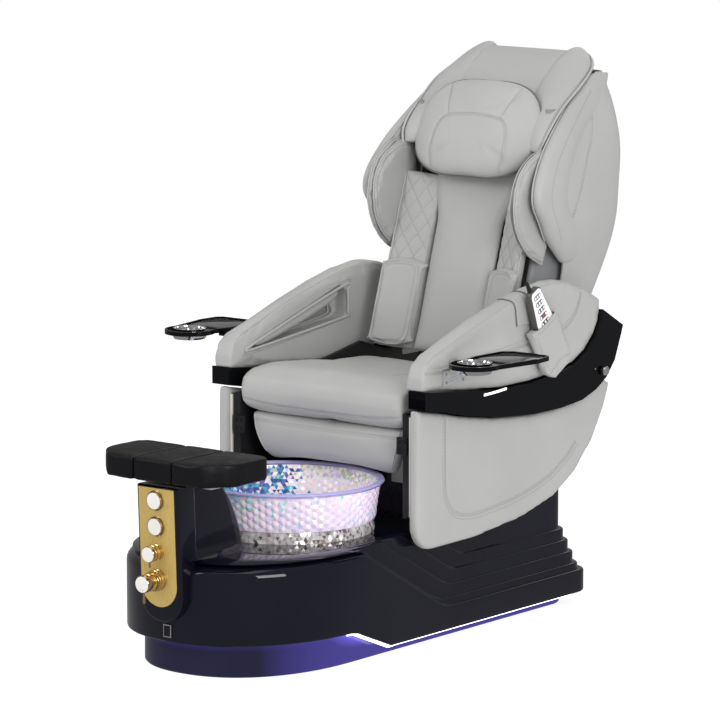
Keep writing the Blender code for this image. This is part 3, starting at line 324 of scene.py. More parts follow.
LIGHT = glowing("rope_light_glow", (0.22, 0.18, 1.0), 2.4)
# painted glow for the strips under the skirt's edge
WHITE_GLOW = glowing("skirt_glow_white", (0.80, 0.80, 1.0), 4.0)
WHITE_LIGHT = glowing("light_bar_white", (1.0, 1.0, 1.0), 1.1)
PLINTH = lit_plinth("plinth_blue_painted_glow", 0.095)
WHITE = plastic("white_plastic", (0.86, 0.86, 0.86), 0.3)
GREY_PLASTIC = plastic("dark_grey_plastic", (0.075, 0.072, 0.068), 0.32)
BEIGE = plastic("beige_plastic", (0.60, 0.585, 0.50), 0.5)
KEY_RING = plastic("key_outline", (0.05, 0.06, 0.10), 0.35)
RED = plastic("red_dot", (0.75, 0.05, 0.03), 0.3)
BLUE = plastic("blue_dot", (0.04, 0.10, 0.6), 0.3)
BLACK_PLASTIC = plastic("black_plastic", (0.014, 0.014, 0.015), 0.35)


# ---------------------------------------------------------------- mesh helpers

def add(name, mesh):
    item = bpy.data.objects.new(name, mesh)
    bpy.context.scene.collection.objects.link(item)
    return item


def shade(item, angle=40):
    item.data.shade_smooth()
    item.data.set_sharp_from_angle(angle=radians(angle))
    return item


def from_bmesh(name, work, angle=40):
    bmesh.ops.recalc_face_normals(work, faces=work.faces)
    if work.calc_volume(signed=True) < 0:
        bmesh.ops.reverse_faces(work, faces=work.faces)
    mesh = bpy.data.meshes.new(name)
    work.to_mesh(mesh)
    work.free()
    return shade(add(name, mesh), angle)


def lattice(name, rows, around=False, ends="cap", angle=40):
    """A surface through rows of points. around closes every row; ends caps the first and last."""
    work = bmesh.new()
    grid = [[work.verts.new(point) for point in row] for row in rows]
    for lower, upper in zip(grid, grid[1:]):
        count = len(lower)
        for index in range(count if around else count - 1):
            after = (index + 1) % count
            work.faces.new((lower[index], lower[after], upper[after], upper[index]))
    if ends == "cap":
        work.faces.new(grid[0][::-1])
        work.faces.new(grid[-1])
    elif ends == "loop":
        for index in range(len(grid[0]) - (0 if around else 1)):
            after = (index + 1) % len(grid[0])
            work.faces.new((grid[-1][index], grid[-1][after], grid[0][after], grid[0][index]))
    bmesh.ops.remove_doubles(work, verts=work.verts, dist=0.000005)
    return from_bmesh(name, work, angle)


def lathe(name, profile, base, axis, steps=48, angle=35):
    """A (radius, distance along axis) profile turned about an axis that starts at base."""
    turn = Vector(axis).normalized().to_track_quat("Z", "Y").to_matrix()
    rows = []
    for step in range(steps):
        around = 2 * pi * step / steps
        rows.append([Vector(base) + turn @ Vector((radius * cos(around), radius * sin(around), along))
                     for radius, along in profile])
    return lattice(name, rows, ends="loop", angle=angle)


def slab(name, outline, low, high, plane="YZ", edge=0.003, segments=3, angle=40):
    """A flat outline made solid, with rounded edges."""
    work = bmesh.new()

    def put(u, v, level):
        return {"YZ": (level, u, v), "XY": (u, v, level), "XZ": (u, level, v)}[plane]

    bottom = [work.verts.new(put(u, v, low)) for u, v in outline]
    top = [work.verts.new(put(u, v, high)) for u, v in outline]
    work.faces.new(bottom)
    work.faces.new(top[::-1])
    for index in range(len(outline)):
        after = (index + 1) % len(outline)
        work.faces.new((bottom[after], bottom[index], top[index], top[after]))
    bmesh.ops.recalc_face_normals(work, faces=work.faces)
    borders = [line for line in work.edges
               if any(all(corner in group for corner in line.verts) for group in (bottom, top))]
    bmesh.ops.bevel(work, geom=borders, offset=edge, segments=segments, affect="EDGES", profile=0.5)
    return from_bmesh(name, work, angle)


def tube(name, points, radius, closed=False, sides=3):
    """A round bar or a row of piping along points."""
    curve = bpy.data.curves.new(name, "CURVE")
    curve.dimensions = "3D"
    curve.bevel_depth = radius
    curve.bevel_resolution = sides
    curve.use_fill_caps = not closed
    spline = curve.splines.new("POLY")
    spline.points.add(len(points) - 1)
    for point, place in zip(spline.points, points):
        point.co = (*place, 1)
    spline.use_cyclic_u = closed
    spline.use_smooth = True
    item = add(name, curve)
    bpy.context.view_layer.update()
    mesh = bpy.data.meshes.new_from_object(item.evaluated_get(bpy.context.evaluated_depsgraph_get()))
    bpy.data.objects.remove(item, do_unlink=True)
    made = add(name, mesh)
    return shade(made, 50)


def flatten(item):
    """Apply the modifiers."""
    bpy.context.view_layer.update()
    mesh = bpy.data.meshes.new_from_object(item.evaluated_get(bpy.context.evaluated_depsgraph_get()))
    item.modifiers.clear()
    item.data = mesh
    return item


def modify(item, kind, **values):
    change = item.modifiers.new(kind.lower(), kind)
    for name, value in values.items():
        setattr(change, name, value)
    return item


def points_of(mesh):
    flat = np.zeros(len(mesh.vertices) * 3)
    mesh.vertices.foreach_get("co", flat)
    return flat.reshape(-1, 3)


def normals_of(mesh):
    flat = np.zeros(len(mesh.vertices) * 3)
    mesh.vertices.foreach_get("normal", flat)
    return flat.reshape(-1, 3)


def move_points(item, places):
    item.data.vertices.foreach_set("co", np.asarray(places, dtype=np.float32).ravel())
    item.data.update()
    return item


def mirrored(item, name):
    mesh = item.data.copy()
    mesh.transform(Matrix.Scale(-1, 4, (1, 0, 0)))
    mesh.flip_normals()
    return add(name, mesh)


def dress(item, look, body, nodes=()):
    """Give a piece its material and its body, and hide the CAD nodes that it stands for."""
    item.data.materials.clear()
    item.data.materials.append(look)
    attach(item, body)
    if nodes:
        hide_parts(*nodes)
    return item


def smooth_step(low, high, value):
    share = np.clip((value - low) / (high - low), 0, 1)
    return share * share * (3 - 2 * share)


def curve_through(points, per_span=8):
    """Catmull-Rom curve through points of any dimension."""
    ends = [points[0], *points, points[-1]]
    path = []
    for a, b, c, d in zip(ends, ends[1:], ends[2:], ends[3:]):
        for step in range(per_span):
            t = step / per_span
            path.append(tuple(0.5 * (2 * q + (r - p) * t + (2 * p - 5 * q + 4 * r - s) * t * t
                                     + (3 * q - p - 3 * r + s) * t ** 3) for p, q, r,
                              s in zip(a, b, c, d)))
    path.append(tuple(points[-1]))
    return path


def resample(points, pitch, closed=False):
    """Points at an even pitch along a polyline."""
    line = [Vector(p) for p in points]
    if closed:
        line.append(line[0])
    lengths = [0.0]
    for a, b in zip(line, line[1:]):
        lengths.append(lengths[-1] + (b - a).length)
    count = max(2, round(lengths[-1] / pitch))
    marks = np.linspace(0, lengths[-1], count + 1)
    if closed:
        marks = marks[:-1]
    whole = [np.interp(marks, lengths, [p[axis] for p in line]) for axis in range(3)]
    return [Vector(p) for p in zip(*whole)]


# ---------------------------------------------------------------- upholstery helpers

def soft_copy(node, name, voxel=0.007, rounding=8, shrink=0.003):
    """The CAD solid as an even, rounded, slightly smaller mesh."""
    work = bmesh.new()
    work.from_mesh(frame["nodes"][node].data)
    bmesh.ops.remove_doubles(work, verts=work.verts, dist=0.00001)
    item = from_bmesh(name, work)
    modify(item, "REMESH", mode="VOXEL", voxel_size=voxel, adaptivity=0.0)
    modify(item, "SMOOTH", factor=0.5, iterations=rounding)
    flatten(item)
    return move_points(item, points_of(item.data) - normals_of(item.data) * shrink)


def fit_box(item, node, grow=0.0005):
    """Scale a piece along X, Y and Z so that it fills the box of its CAD solid."""
    places = points_of(item.data)
    low, high = (np.array(corner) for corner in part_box(node))
    low, high = low - grow, high + grow
    own_low, own_high = places.min(axis=0), places.max(axis=0)
    scaled = (places - own_low) / (own_high - own_low) * (high - low) + low
    return move_points(item, scaled)


def inflate(item, pressure=4.0, cap=0.008, last_frame=20, calm=2):
    """Blow the pad up as cloth, let no point move further than cap, and keep the result."""
    rest = points_of(item.data)
    cloth = item.modifiers.new("cloth", "CLOTH")
    cloth.settings.use_pressure = True
    cloth.settings.uniform_pressure_force = pressure
    cloth.settings.effector_weights.gravity = 0
    cloth.settings.tension_stiffness = 25
    cloth.settings.compression_stiffness = 25
    cloth.settings.bending_stiffness = 1.5
    cloth.point_cache.frame_start = 1
    cloth.point_cache.frame_end = last_frame
    scene = bpy.context.scene
    for step in range(1, last_frame + 1):
        scene.frame_set(step)
    moved = points_of(item.evaluated_get(bpy.context.evaluated_depsgraph_get()).data)
    item.modifiers.remove(cloth)
    scene.frame_set(1)
    shift = moved - rest
    length = np.linalg.norm(shift, axis=1, keepdims=True)
    move_points(item, rest + shift * np.minimum(1, cap / np.maximum(length, 1e-9)))
    modify(item, "SMOOTH", factor=0.5, iterations=calm)
    modify(item, "SUBSURF", levels=1, render_levels=1)
    flatten(item)
    return shade(item, 180)


def skin_of(item):
    """A search tree over a piece's surface."""
    return BVHTree.FromPolygons([v.co[:] for v in item.data.vertices],
                                [p.vertices[:] for p in item.data.polygons])


def lay_on(tree, points, direction=None, lift=0.0):
    """Put points on a surface: the nearest place, or where a ray along direction meets it.
    Gives (place, normal) pairs."""
    laid = []
    for point in points:
        if direction is None:
            place, normal, _, _ = tree.find_nearest(Vector(point))
        else:
            ray = Vector(direction).normalized()
            place, normal, _, _ = tree.ray_cast(Vector(point) - ray * 0.5, ray)
        if place is not None:
            laid.append((place + normal * lift, normal))
    return laid


def press(item, points, width=0.005, depth=0.002):
    """Press a seam's groove into a piece along points that lie on its surface."""
    line = resample(points, width * 0.4)
    finder = KDTree(len(line))
    for index, place in enumerate(line):
        finder.insert(place, index)
    finder.balance()
    places, normals = points_of(item.data), normals_of(item.data)
    low = np.min([tuple(p) for p in line], axis=0) - 3 * width
    high = np.max([tuple(p) for p in line], axis=0) + 3 * width
    near = np.where(np.all((places > low) & (places < high), axis=1))[0]
    for index in near:
        _, _, distance = finder.find(places[index])
        if distance < 3 * width:
            places[index] -= normals[index] * depth * np.exp(-(distance / width) ** 2)
    return move_points(item, places)


def stitch_row(name, laid, pitch=0.0085, length=0.0056, radius=0.00065):
    """Separate stitches along (place, normal) pairs, each a small spindle that lies flat."""
    if len(laid) < 2:
        return None
    places = resample([place for place, _ in laid], pitch)
    finder = KDTree(len(laid))
    for index, (place, _) in enumerate(laid):
        finder.insert(place, index)
    finder.balance()
    work = bmesh.new()
    for before, after in zip(places, places[1:]):
        along = (after - before).normalized()
        middle = (before + after) / 2
        normal = laid[finder.find(middle)[1]][1]
        across = along.cross(normal).normalized()
        out = across.cross(along)
        rings = []
        for share, swell in ((-0.5, 0.35), (-0.25, 1.0), (0.25, 1.0), (0.5, 0.35)):
            centre = middle + along * length * share
            rings.append([work.verts.new(centre + (across * x + out * z) * radius * swell)
                          for x, z in ((1, 0), (0, 1), (-1, 0), (0, -0.6))])
        for lower, upper in zip(rings, rings[1:]):
            for index in range(4):
                following = (index + 1) % 4
                work.faces.new((lower[index], lower[following], upper[following], upper[index]))
        work.faces.new(rings[0][::-1])
        work.faces.new(rings[-1])
    return from_bmesh(name, work, 60)


def offset_line(laid, amount):
    """Shift (place, normal) pairs sideways along the surface."""
    shifted = []
    for index, (place, normal) in enumerate(laid):
        before = laid[max(index - 1, 0)][0]
        after = laid[min(index + 1, len(laid) - 1)][0]
        along = (after - before).normalized()
        shifted.append((place + along.cross(normal).normalized() * amount, normal))
    return shifted


# ---------------------------------------------------------------- camera, stage and lights

def make_stage():
    camera = bpy.data.objects.new("camera", bpy.data.cameras.new("camera"))
    bpy.context.scene.collection.objects.link(camera)
    camera.location = (7.42865, -9.48332, 2.66940)
    camera.rotation_euler = (radians(80.83), 0, radians(37.84))
    camera.data.lens = 231
    camera.data.sensor_width = 36
    camera.data.clip_end = 100
    bpy.context.scene.camera = camera

    work = bmesh.new()
    bmesh.ops.create_circle(work, cap_ends=True, segments=96, radius=6)
    floor = from_bmesh("floor", work)
    floor.location = (0, 0, -0.0005)
    pale = Look("pale_floor", (0.30, 0.30, 0.30), 0.6)
    pale.put("Specular IOR Level", 0.1)
    pale.put("Emission Color", (1.0, 1.0, 1.0, 1.0))
    pale.put("Emission Strength", 0.86)
    floor.data.materials.append(pale.material)
    floor.visible_glossy = False

    for name, place, size, power in (("key", (-2.4, -4.4, 4.2), 2.6, 72),
                                     ("fill", (5.2, -2.2, 2.2), 2.6, 135),
                                     ("back", (-1.0, 4.0, 3.4), 2.6, 20),
                                     ("top", (0.4, -1.0, 4.2), 2.4, 16)):
        light = bpy.data.lights.new(name, "AREA")
        light.size = size
        light.energy = power
        lamp = bpy.data.objects.new(name, light)
        lamp.location = place
        lamp.rotation_euler = (Vector((0, 0, 0.7)) - Vector(place)).to_track_quat("-Z", "Y").to_euler()
        bpy.context.scene.collection.objects.link(lamp)

    world = bpy.data.worlds.new("studio")
    world.use_nodes = True
    tree = world.node_tree
    background = tree.nodes["Background"]
    background.inputs["Color"].default_value = (1.0, 1.0, 1.0, 1.0)
    path = tree.nodes.new("ShaderNodeLightPath")
    dim = tree.nodes.new("ShaderNodeMapRange")
    dim.inputs["To Min"].default_value = 0.86
    dim.inputs["To Max"].default_value = 0.24
    tree.links.new(path.outputs["Is Glossy Ray"], dim.inputs["Value"])
    seen = tree.nodes.new("ShaderNodeMath")
    seen.operation = "MAXIMUM"
    tree.links.new(dim.outputs["Result"], seen.inputs[0])
    tree.links.new(path.outputs["Is Camera Ray"], seen.inputs[1])
    tree.links.new(seen.outputs["Value"], background.inputs["Strength"])
    bpy.context.scene.world = world
    bpy.context.scene.view_settings.view_transform = "Standard"


# ---------------------------------------------------------------- base

NOSE_CENTRE = -0.300
SHELL_HALF_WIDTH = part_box("base_shell")[1].x
SHELL_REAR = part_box("base_shell")[1].y
NOSE_REACH = NOSE_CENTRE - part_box("base_shell")[0].y
SHOULDER_SLOPE = 0.572                    # fall of the shoulder and the tiers' front edges
LEDGES = (                                # half width, Y where its flat part starts, height
    (SHELL_HALF_WIDTH, 0.043, 0.093),
    (0.302, 0.030, 0.111),
    (0.292, 0.082, 0.143),
    (0.282, 0.122, 0.175),
    (0.272, 0.175, 0.206),
)
TOP_HALF_WIDTH = 0.262
FRONT_DROP = (0.0170, 0.0090, 0.0040, 0.0015, 0.0005)     # of each ledge below the deck, in front
DECK = 0.308
REAR_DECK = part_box("base_shell")[1].z
RISER = (0.055, 0.075)                    # the deck steps up between these places
SKIRT = (0.090, 0.030)
SKIRT_STEP = (-0.340, -0.190)


def soft_max(a, b, radius=0.012):
    return 0.5 * (a + b + sqrt((a - b) ** 2 + radius ** 2)) - radius * 0.02


def ledge_height(y, index):
    _, front, height = LEDGES[index]
    line = height + (front - y) * SHOULDER_SLOPE
    return min(soft_max(line, height), DECK - FRONT_DROP[index])


def top_height(y):
    return DECK + (REAR_DECK - DECK) * float(smooth_step(RISER[0], RISER[1], y))


def skirt_height(y):
    share = min(max((y - SKIRT_STEP[0]) / (SKIRT_STEP[1] - SKIRT_STEP[0]), 0), 1)
    return SKIRT[0] + (SKIRT[1] - SKIRT[0]) * share


def shell_section(y):
    """Half section of the base shell as (half width, height) points, from the middle outwards
    over the deck and the ledges, down the wall, and back under the shell."""
    heights = [ledge_height(y, index) for index in range(len(LEDGES))]
    widths = [half for half, _, _ in LEDGES]
    above = top_height(y)
    front = 1 - float(smooth_step(-0.335, -0.28, y))
    section = [(0.0, above), (TOP_HALF_WIDTH * 0.5, above)]
    corner_width, corner_height = TOP_HALF_WIDTH, above
    for index in reversed(range(len(LEDGES))):
        drop = corner_height - heights[index]
        inner = heights[index] + drop * front
        wall = corner_height - inner
        radius = min(0.0058, wall * 0.6)
        for step in range(5):
            angle = pi / 2 * step / 4
            section.append((corner_width - radius + radius * sin(angle),
                            corner_height - radius + radius * cos(angle)))
        hollow = min(0.002, wall * 0.3)
        section.append((corner_width, inner + hollow))
        section.append((corner_width + hollow, inner))
        corner_width, corner_height = widths[index], heights[index]
    radius = min(0.0065 + 0.020 * front, (corner_height - skirt_height(y)) * 0.5)
    for step in range(8):
        angle = pi / 2 * step / 7
        section.append((corner_width - radius + radius * sin(angle),
                        corner_height - radius + radius * cos(angle)))
    low = skirt_height(y)
    section += [(corner_width, low + 0.006), (corner_width - 0.001, low + 0.002),
                (corner_width - 0.003, low),
                (corner_width - 0.011, low), (corner_width - 0.012, low + 0.004),
                (corner_width - 0.012, low + 0.022), (0.0, low + 0.022)]
    return section


NOSE_POWER = 0.889                        # 1 is an ellipse, less is squarer


def squared(value):
    return abs(value) ** NOSE_POWER * (1 if value >= 0 else -1)


def outline_stations(half_width, reach, rear, corner=0.06):
    """Where the sections stand, from the nose to the rear on the right: (origin, direction to a
    width of one, Y that sets the heights)."""
    stations = []
    for step in range(30):
        angle = pi / 2 * (1 - step / 30)
        arm = Vector((squared(cos(angle)), -reach / half_width * squared(sin(angle))))
        stations.append((Vector((0, NOSE_CENTRE)), arm, NOSE_CENTRE - reach * squared(sin(angle))))
    turn = rear - half_width
    for y in np.linspace(NOSE_CENTRE, turn, 64):
        stations.append((Vector((0, float(y))), Vector((1, 0)), float(y)))
    centre = Vector((0, turn))
    rim = [Vector((half_width, y)) for y in np.linspace(turn, rear - corner, 9)[1:-1]]
    for step in range(13):
        angle = pi / 2 * step / 12
        rim.append(Vector((half_width - corner + corner * cos(angle),
                           rear - corner + corner * sin(angle))))
    rim += [Vector((x, rear)) for x in np.linspace(half_width - corner, 0, 8)[1:]]
    for place in rim:
        stations.append((centre, (place - centre) / half_width, turn + 0.1))
    return stations


def swept_base(name, section_at, half_width, reach, rear):
    rows = []
    for origin, arm, y in outline_stations(half_width, reach, rear):
        rows.append([(origin.x + arm.x * width, origin.y + arm.y * width, height)
                     for width, height in section_at(y)])
    left = [[(-x, y, z) for x, y, z in row] for row in reversed(rows)]
    work = bmesh.new()
    grid = [[work.verts.new(point) for point in row] for row in rows + left]
    for lower, upper in zip(grid, grid[1:] + grid[:1]):
        for index in range(len(lower) - 1):
            work.faces.new((lower[index], lower[index + 1], upper[index + 1], upper[index]))
    bmesh.ops.remove_doubles(work, verts=work.verts, dist=0.00002)
    bmesh.ops.dissolve_degenerate(work, edges=work.edges, dist=0.00001)
    return from_bmesh(name, work, 32)


def make_base():
    shell = swept_base("gloss_base", shell_section, SHELL_HALF_WIDTH, NOSE_REACH, SHELL_REAR)
    dress(shell, BLACK, "base", ["base_shell"])

    low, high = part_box("base_plinth")

    def plinth_section(_):
        return [(0.0, high.z), (high.x - 0.004, high.z), (high.x, high.z - 0.004), (high.x, 0.004),
                (high.x - 0.003, 0.0), (0.0, 0.0)]

    plinth = swept_base("lit_plinth", plinth_section, high.x, NOSE_CENTRE - low.y, high.y)
    dress(plinth, PLINTH, "base", ["base_plinth"])

    radius = 0.006
    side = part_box("rope_light")[1].x - radius
    reach = NOSE_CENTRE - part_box("rope_light")[0].y - radius
    right = []
    for step in range(25):
        angle = pi / 2 * (1 - step / 24)
        right.append((side * squared(cos(angle)), NOSE_CENTRE - reach * squared(sin(angle))))
    right += [(side, y) for y in np.linspace(NOSE_CENTRE + 0.02, 0.60, 48)]
    path = [(-x, y) for x, y in reversed(right[1:])] + right
    rope = tube("glowing_rope_light", [(x, y, skirt_height(y) + 0.0022) for x, y in path], radius,
                False, 3)
    dress(rope, LIGHT, "base", ["rope_light"])

    # painted light: white glowing strips just under the skirt's edge stand for the hidden light strip's light
    # showing there, strongest along the slope
    slope = [(0.300, y, skirt_height(y) - 0.0030) for y in np.linspace(SKIRT_STEP[0] - 0.02,
                                                                       SKIRT_STEP[1] + 0.02, 20)]
    along = [(0.3105, y, SKIRT[1] - 0.0012) for y in np.linspace(SKIRT_STEP[1], 0.62, 30)]
    for name, path, size in (("slope_glow", slope, 0.0042), ("skirt_glow", along, 0.0011)):
        strip = tube(name + "_right", path, size)
        dress(strip, WHITE_GLOW, "base")
        dress(mirrored(strip, name + "_left"), WHITE_GLOW, "base")

    low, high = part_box("badge_plate")
    plate = slab("badge_plain_plate", [(low.x, low.z), (high.x, low.z), (high.x, high.z),
                                       (low.x, high.z)],
                 low.y, high.y, "XZ", 0.0012)
    dress(plate, CHROME, "base", ["badge_plate"])
    inlay = slab("badge_inlay", [(low.x + 0.003, low.z + 0.003), (high.x - 0.003, low.z + 0.003),
                                 (high.x - 0.003, high.z - 0.003), (low.x + 0.003, high.z - 0.003)],
                 low.y - 0.0006, low.y + 0.001, "XZ", 0.0004)
    dress(inlay, BLACK, "base")


# ---------------------------------------------------------------- basin

BASIN_Y = sum(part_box("basin_bowl")[i].y for i in (0, 1)) / 2
BOWL_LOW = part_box("basin_bowl")[0].z
BOWL_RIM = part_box("basin_bowl")[1].z
RIM_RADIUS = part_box("basin_bowl")[1].x
FOOT_RADIUS = 0.226
COLUMNS = 126


def bowl_radius(share):
    return FOOT_RADIUS + (RIM_RADIUS - 0.013 - FOOT_RADIUS) * max(share, 0) ** 1.4


def cut_skin(name, radius_at, low, high, rows, relief, tint, jitter=0.0):
    """A turned wall of hexagonal facets. relief lifts every third point; tint(angle, share)
    gives a facet's colour."""
    work = bmesh.new()
    grid = []
    for row in range(rows + 1):
        share = row / rows
        ring = []
        for column in range(COLUMNS):
            angle = 2 * pi * (column + 0.5 * (row % 2)) / COLUMNS
            lifted = (column - row // 2 - row) % 3 == 0 and 0 < row < rows
            radius = radius_at(share) + (relief if lifted else 0) + random.uniform(-jitter, jitter)
            ring.append(work.verts.new((radius * cos(angle), BASIN_Y + radius * sin(angle),
                                        low + (high - low) * share)))
        grid.append(ring)
    for row in range(rows):
        for column in range(COLUMNS):
            following = (column + 1) % COLUMNS
            a, b = grid[row][column], grid[row][following]
            c, d = grid[row + 1][column], grid[row + 1][following]
            if row % 2:
                work.faces.new((a, d, c))
                work.faces.new((a, b, d))
            else:
                work.faces.new((a, b, c))
                work.faces.new((b, d, c))
    mesh = bpy.data.meshes.new(name)
    work.to_mesh(mesh)
    work.free()
    item = add(name, mesh)
    colours = mesh.attributes.new("tint", "FLOAT_COLOR", "FACE")
    for face in mesh.polygons:
        centre = face.center
        share = (centre.z - low) / (high - low)
        colours.data[face.index].color = (*tint(atan2(centre.y - BASIN_Y, centre.x), share), 1.0)
    return item


def mix(a, b, share):
    return tuple(p + (q - p) * share for p, q in zip(a, b))


def outside_tint(angle, share):
    """Pearly pink and lilac, with cyan and teal glints painted high up at the front left."""
    colour = random.choice(((0.96, 0.78, 0.95), (0.93, 0.74, 0.95), (0.96, 0.86, 0.98),
                            (0.88, 0.74, 0.95),
                            (0.97, 0.92, 0.95)))
    painted_glint_share = max(0.0, cos(angle + 2.0)) * max(0.0, share - 0.30)
    if random.random() < 0.05 + 0.9 * painted_glint_share:
        colour = random.choice(((0.30, 0.72, 0.80), (0.55, 0.82, 0.78), (0.60, 0.64, 0.93),
                                (0.93, 0.80, 0.66)))
    return mix(colour, (0.74, 0.66, 0.98), 0.45 * abs(cos(angle)) * (1 - share))


def inside_tint(angle, share):
    """Deep blue and teal at the left, peach and white in the middle, lilac at the right."""
    left = max(0.0, -cos(angle - 0.25))
    if random.random() < left * 1.5 - 0.25:
        return random.choice(((0.03, 0.12, 0.36), (0.03, 0.30, 0.46), (0.20, 0.10, 0.44),
                              (0.04, 0.07, 0.24),
                              (0.10, 0.46, 0.56), (0.06, 0.20, 0.50)))
    colour = random.choice(((0.95, 0.78, 0.80), (0.97, 0.88, 0.80), (0.90, 0.80, 0.95),
                            (0.93, 0.90, 0.93)))
    if cos(angle) > 0.55:
        colour = mix(colour, (0.70, 0.64, 0.96), 0.5)
    if share > 0.6 and random.random() < 0.40:
        colour = random.choice(((0.62, 0.66, 0.36), (0.50, 0.62, 0.48), (0.66, 0.60, 0.85)))
    return colour


FOOT_TINTS = ((0.46, 0.38, 0.33), (0.80, 0.76, 0.74), (0.22, 0.19, 0.18), (0.95, 0.94, 0.96),
              (0.62, 0.55, 0.52), (0.74, 0.70, 0.76), (0.85, 0.82, 0.86))


def foot_tint(_angle, _share):
    """A smoky or clear crystal, whatever its place."""
    return random.choice(FOOT_TINTS)


def make_basin():
    top = BOWL_RIM - 0.010
    outer = cut_skin("crystal_bowl_outside", bowl_radius, BOWL_LOW + 0.001, top, 9, 0.0042, outside_tint)
    dress(outer, CRYSTAL, "base", ["basin_bowl"])
    inner = cut_skin("crystal_bowl_inside", lambda s: bowl_radius(s) - 0.0065, BOWL_LOW + 0.012, top, 9,
                     -0.0040, inside_tint)
    inner.data.flip_normals()
    dress(inner, CRYSTAL, "base")

    floor_profile = [(0.028, 0.0), (0.028, 0.0075), (0.12, 0.0085), (FOOT_RADIUS - 0.035, 0.0095),
                     (FOOT_RADIUS - 0.014, 0.0125), (FOOT_RADIUS - 0.0055, 0.020),
                     (FOOT_RADIUS - 0.0015, 0.012),
                     (FOOT_RADIUS - 0.004, 0.0)]
    floor = lathe("crystal_bowl_floor", floor_profile, (0, BASIN_Y, BOWL_LOW + 0.0003), UP, 96)
    dress(floor, smoked("bowl_floor_resin", (0.82, 0.76, 0.93), 0.1, 0.08), "base")

    rim_profile = []
    for step in range(12):
        angle = 2 * pi * step / 12
        rim_profile.append((RIM_RADIUS - 0.0085 + 0.0082 * cos(angle), -0.0062 + 0.0060 * sin(angle)))
    rim = lathe("crystal_bowl_rim", rim_profile, (0, BASIN_Y, BOWL_RIM), UP, 120, 80)
    dress(rim, RIM, "base")

    low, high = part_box("basin_foot")
    outer_radius = high.x
    foot = cut_skin("crystal_foot_outside", lambda s: outer_radius - 0.003 - 0.004 * s, low.z, high.z,
                    3, 0.0028,
                    foot_tint, 0.0014)
    dress(foot, FOOT_CRYSTAL, "base", ["basin_foot"])
    body = lathe("crystal_foot_body", [(0.176, 0.0), (0.176, high.z - low.z),
                                       (outer_radius - 0.009, high.z - low.z),
                                       (outer_radius - 0.006, 0.0)], (0, BASIN_Y, low.z), UP, 96)
    dress(body, smoked("foot_resin", (0.55, 0.50, 0.48), 0.2, 0.1), "base")


# ---------------------------------------------------------------- footrest column

LEAN = 0.040
OUTWARD = Vector((0, -1, -LEAN)).normalized()


def plate_front(height):
    """Y of the control plate's front at a height."""
    return -0.745 - LEAN * (height - 0.2) - 0.0034


def on_plate(height, out=0.0, x=0.0):
    return Vector((x, plate_front(height), height)) + OUTWARD * out


def tongue_outline(half_width, toe, top):
    points = [(half_width, top), (-half_width, top)]
    centre = toe + half_width
    for step in range(33):
        angle = pi + pi * step / 32
        points.append((half_width * cos(angle), centre + half_width * sin(angle)))
    return points


def leaning(item):
    """Lean an upright front piece as the column leans."""
    places = points_of(item.data)
    places[:, 1] -= LEAN * (places[:, 2] - 0.2)
    return move_points(item, places)


COLUMN_REAR_HEIGHTS = (0.308, 0.326, 0.350, 0.371, 0.405, 0.438, 0.465, 0.498)
COLUMN_REAR = (-0.489, -0.490, -0.4955, -0.503, -0.518, -0.536, -0.557, -0.571)


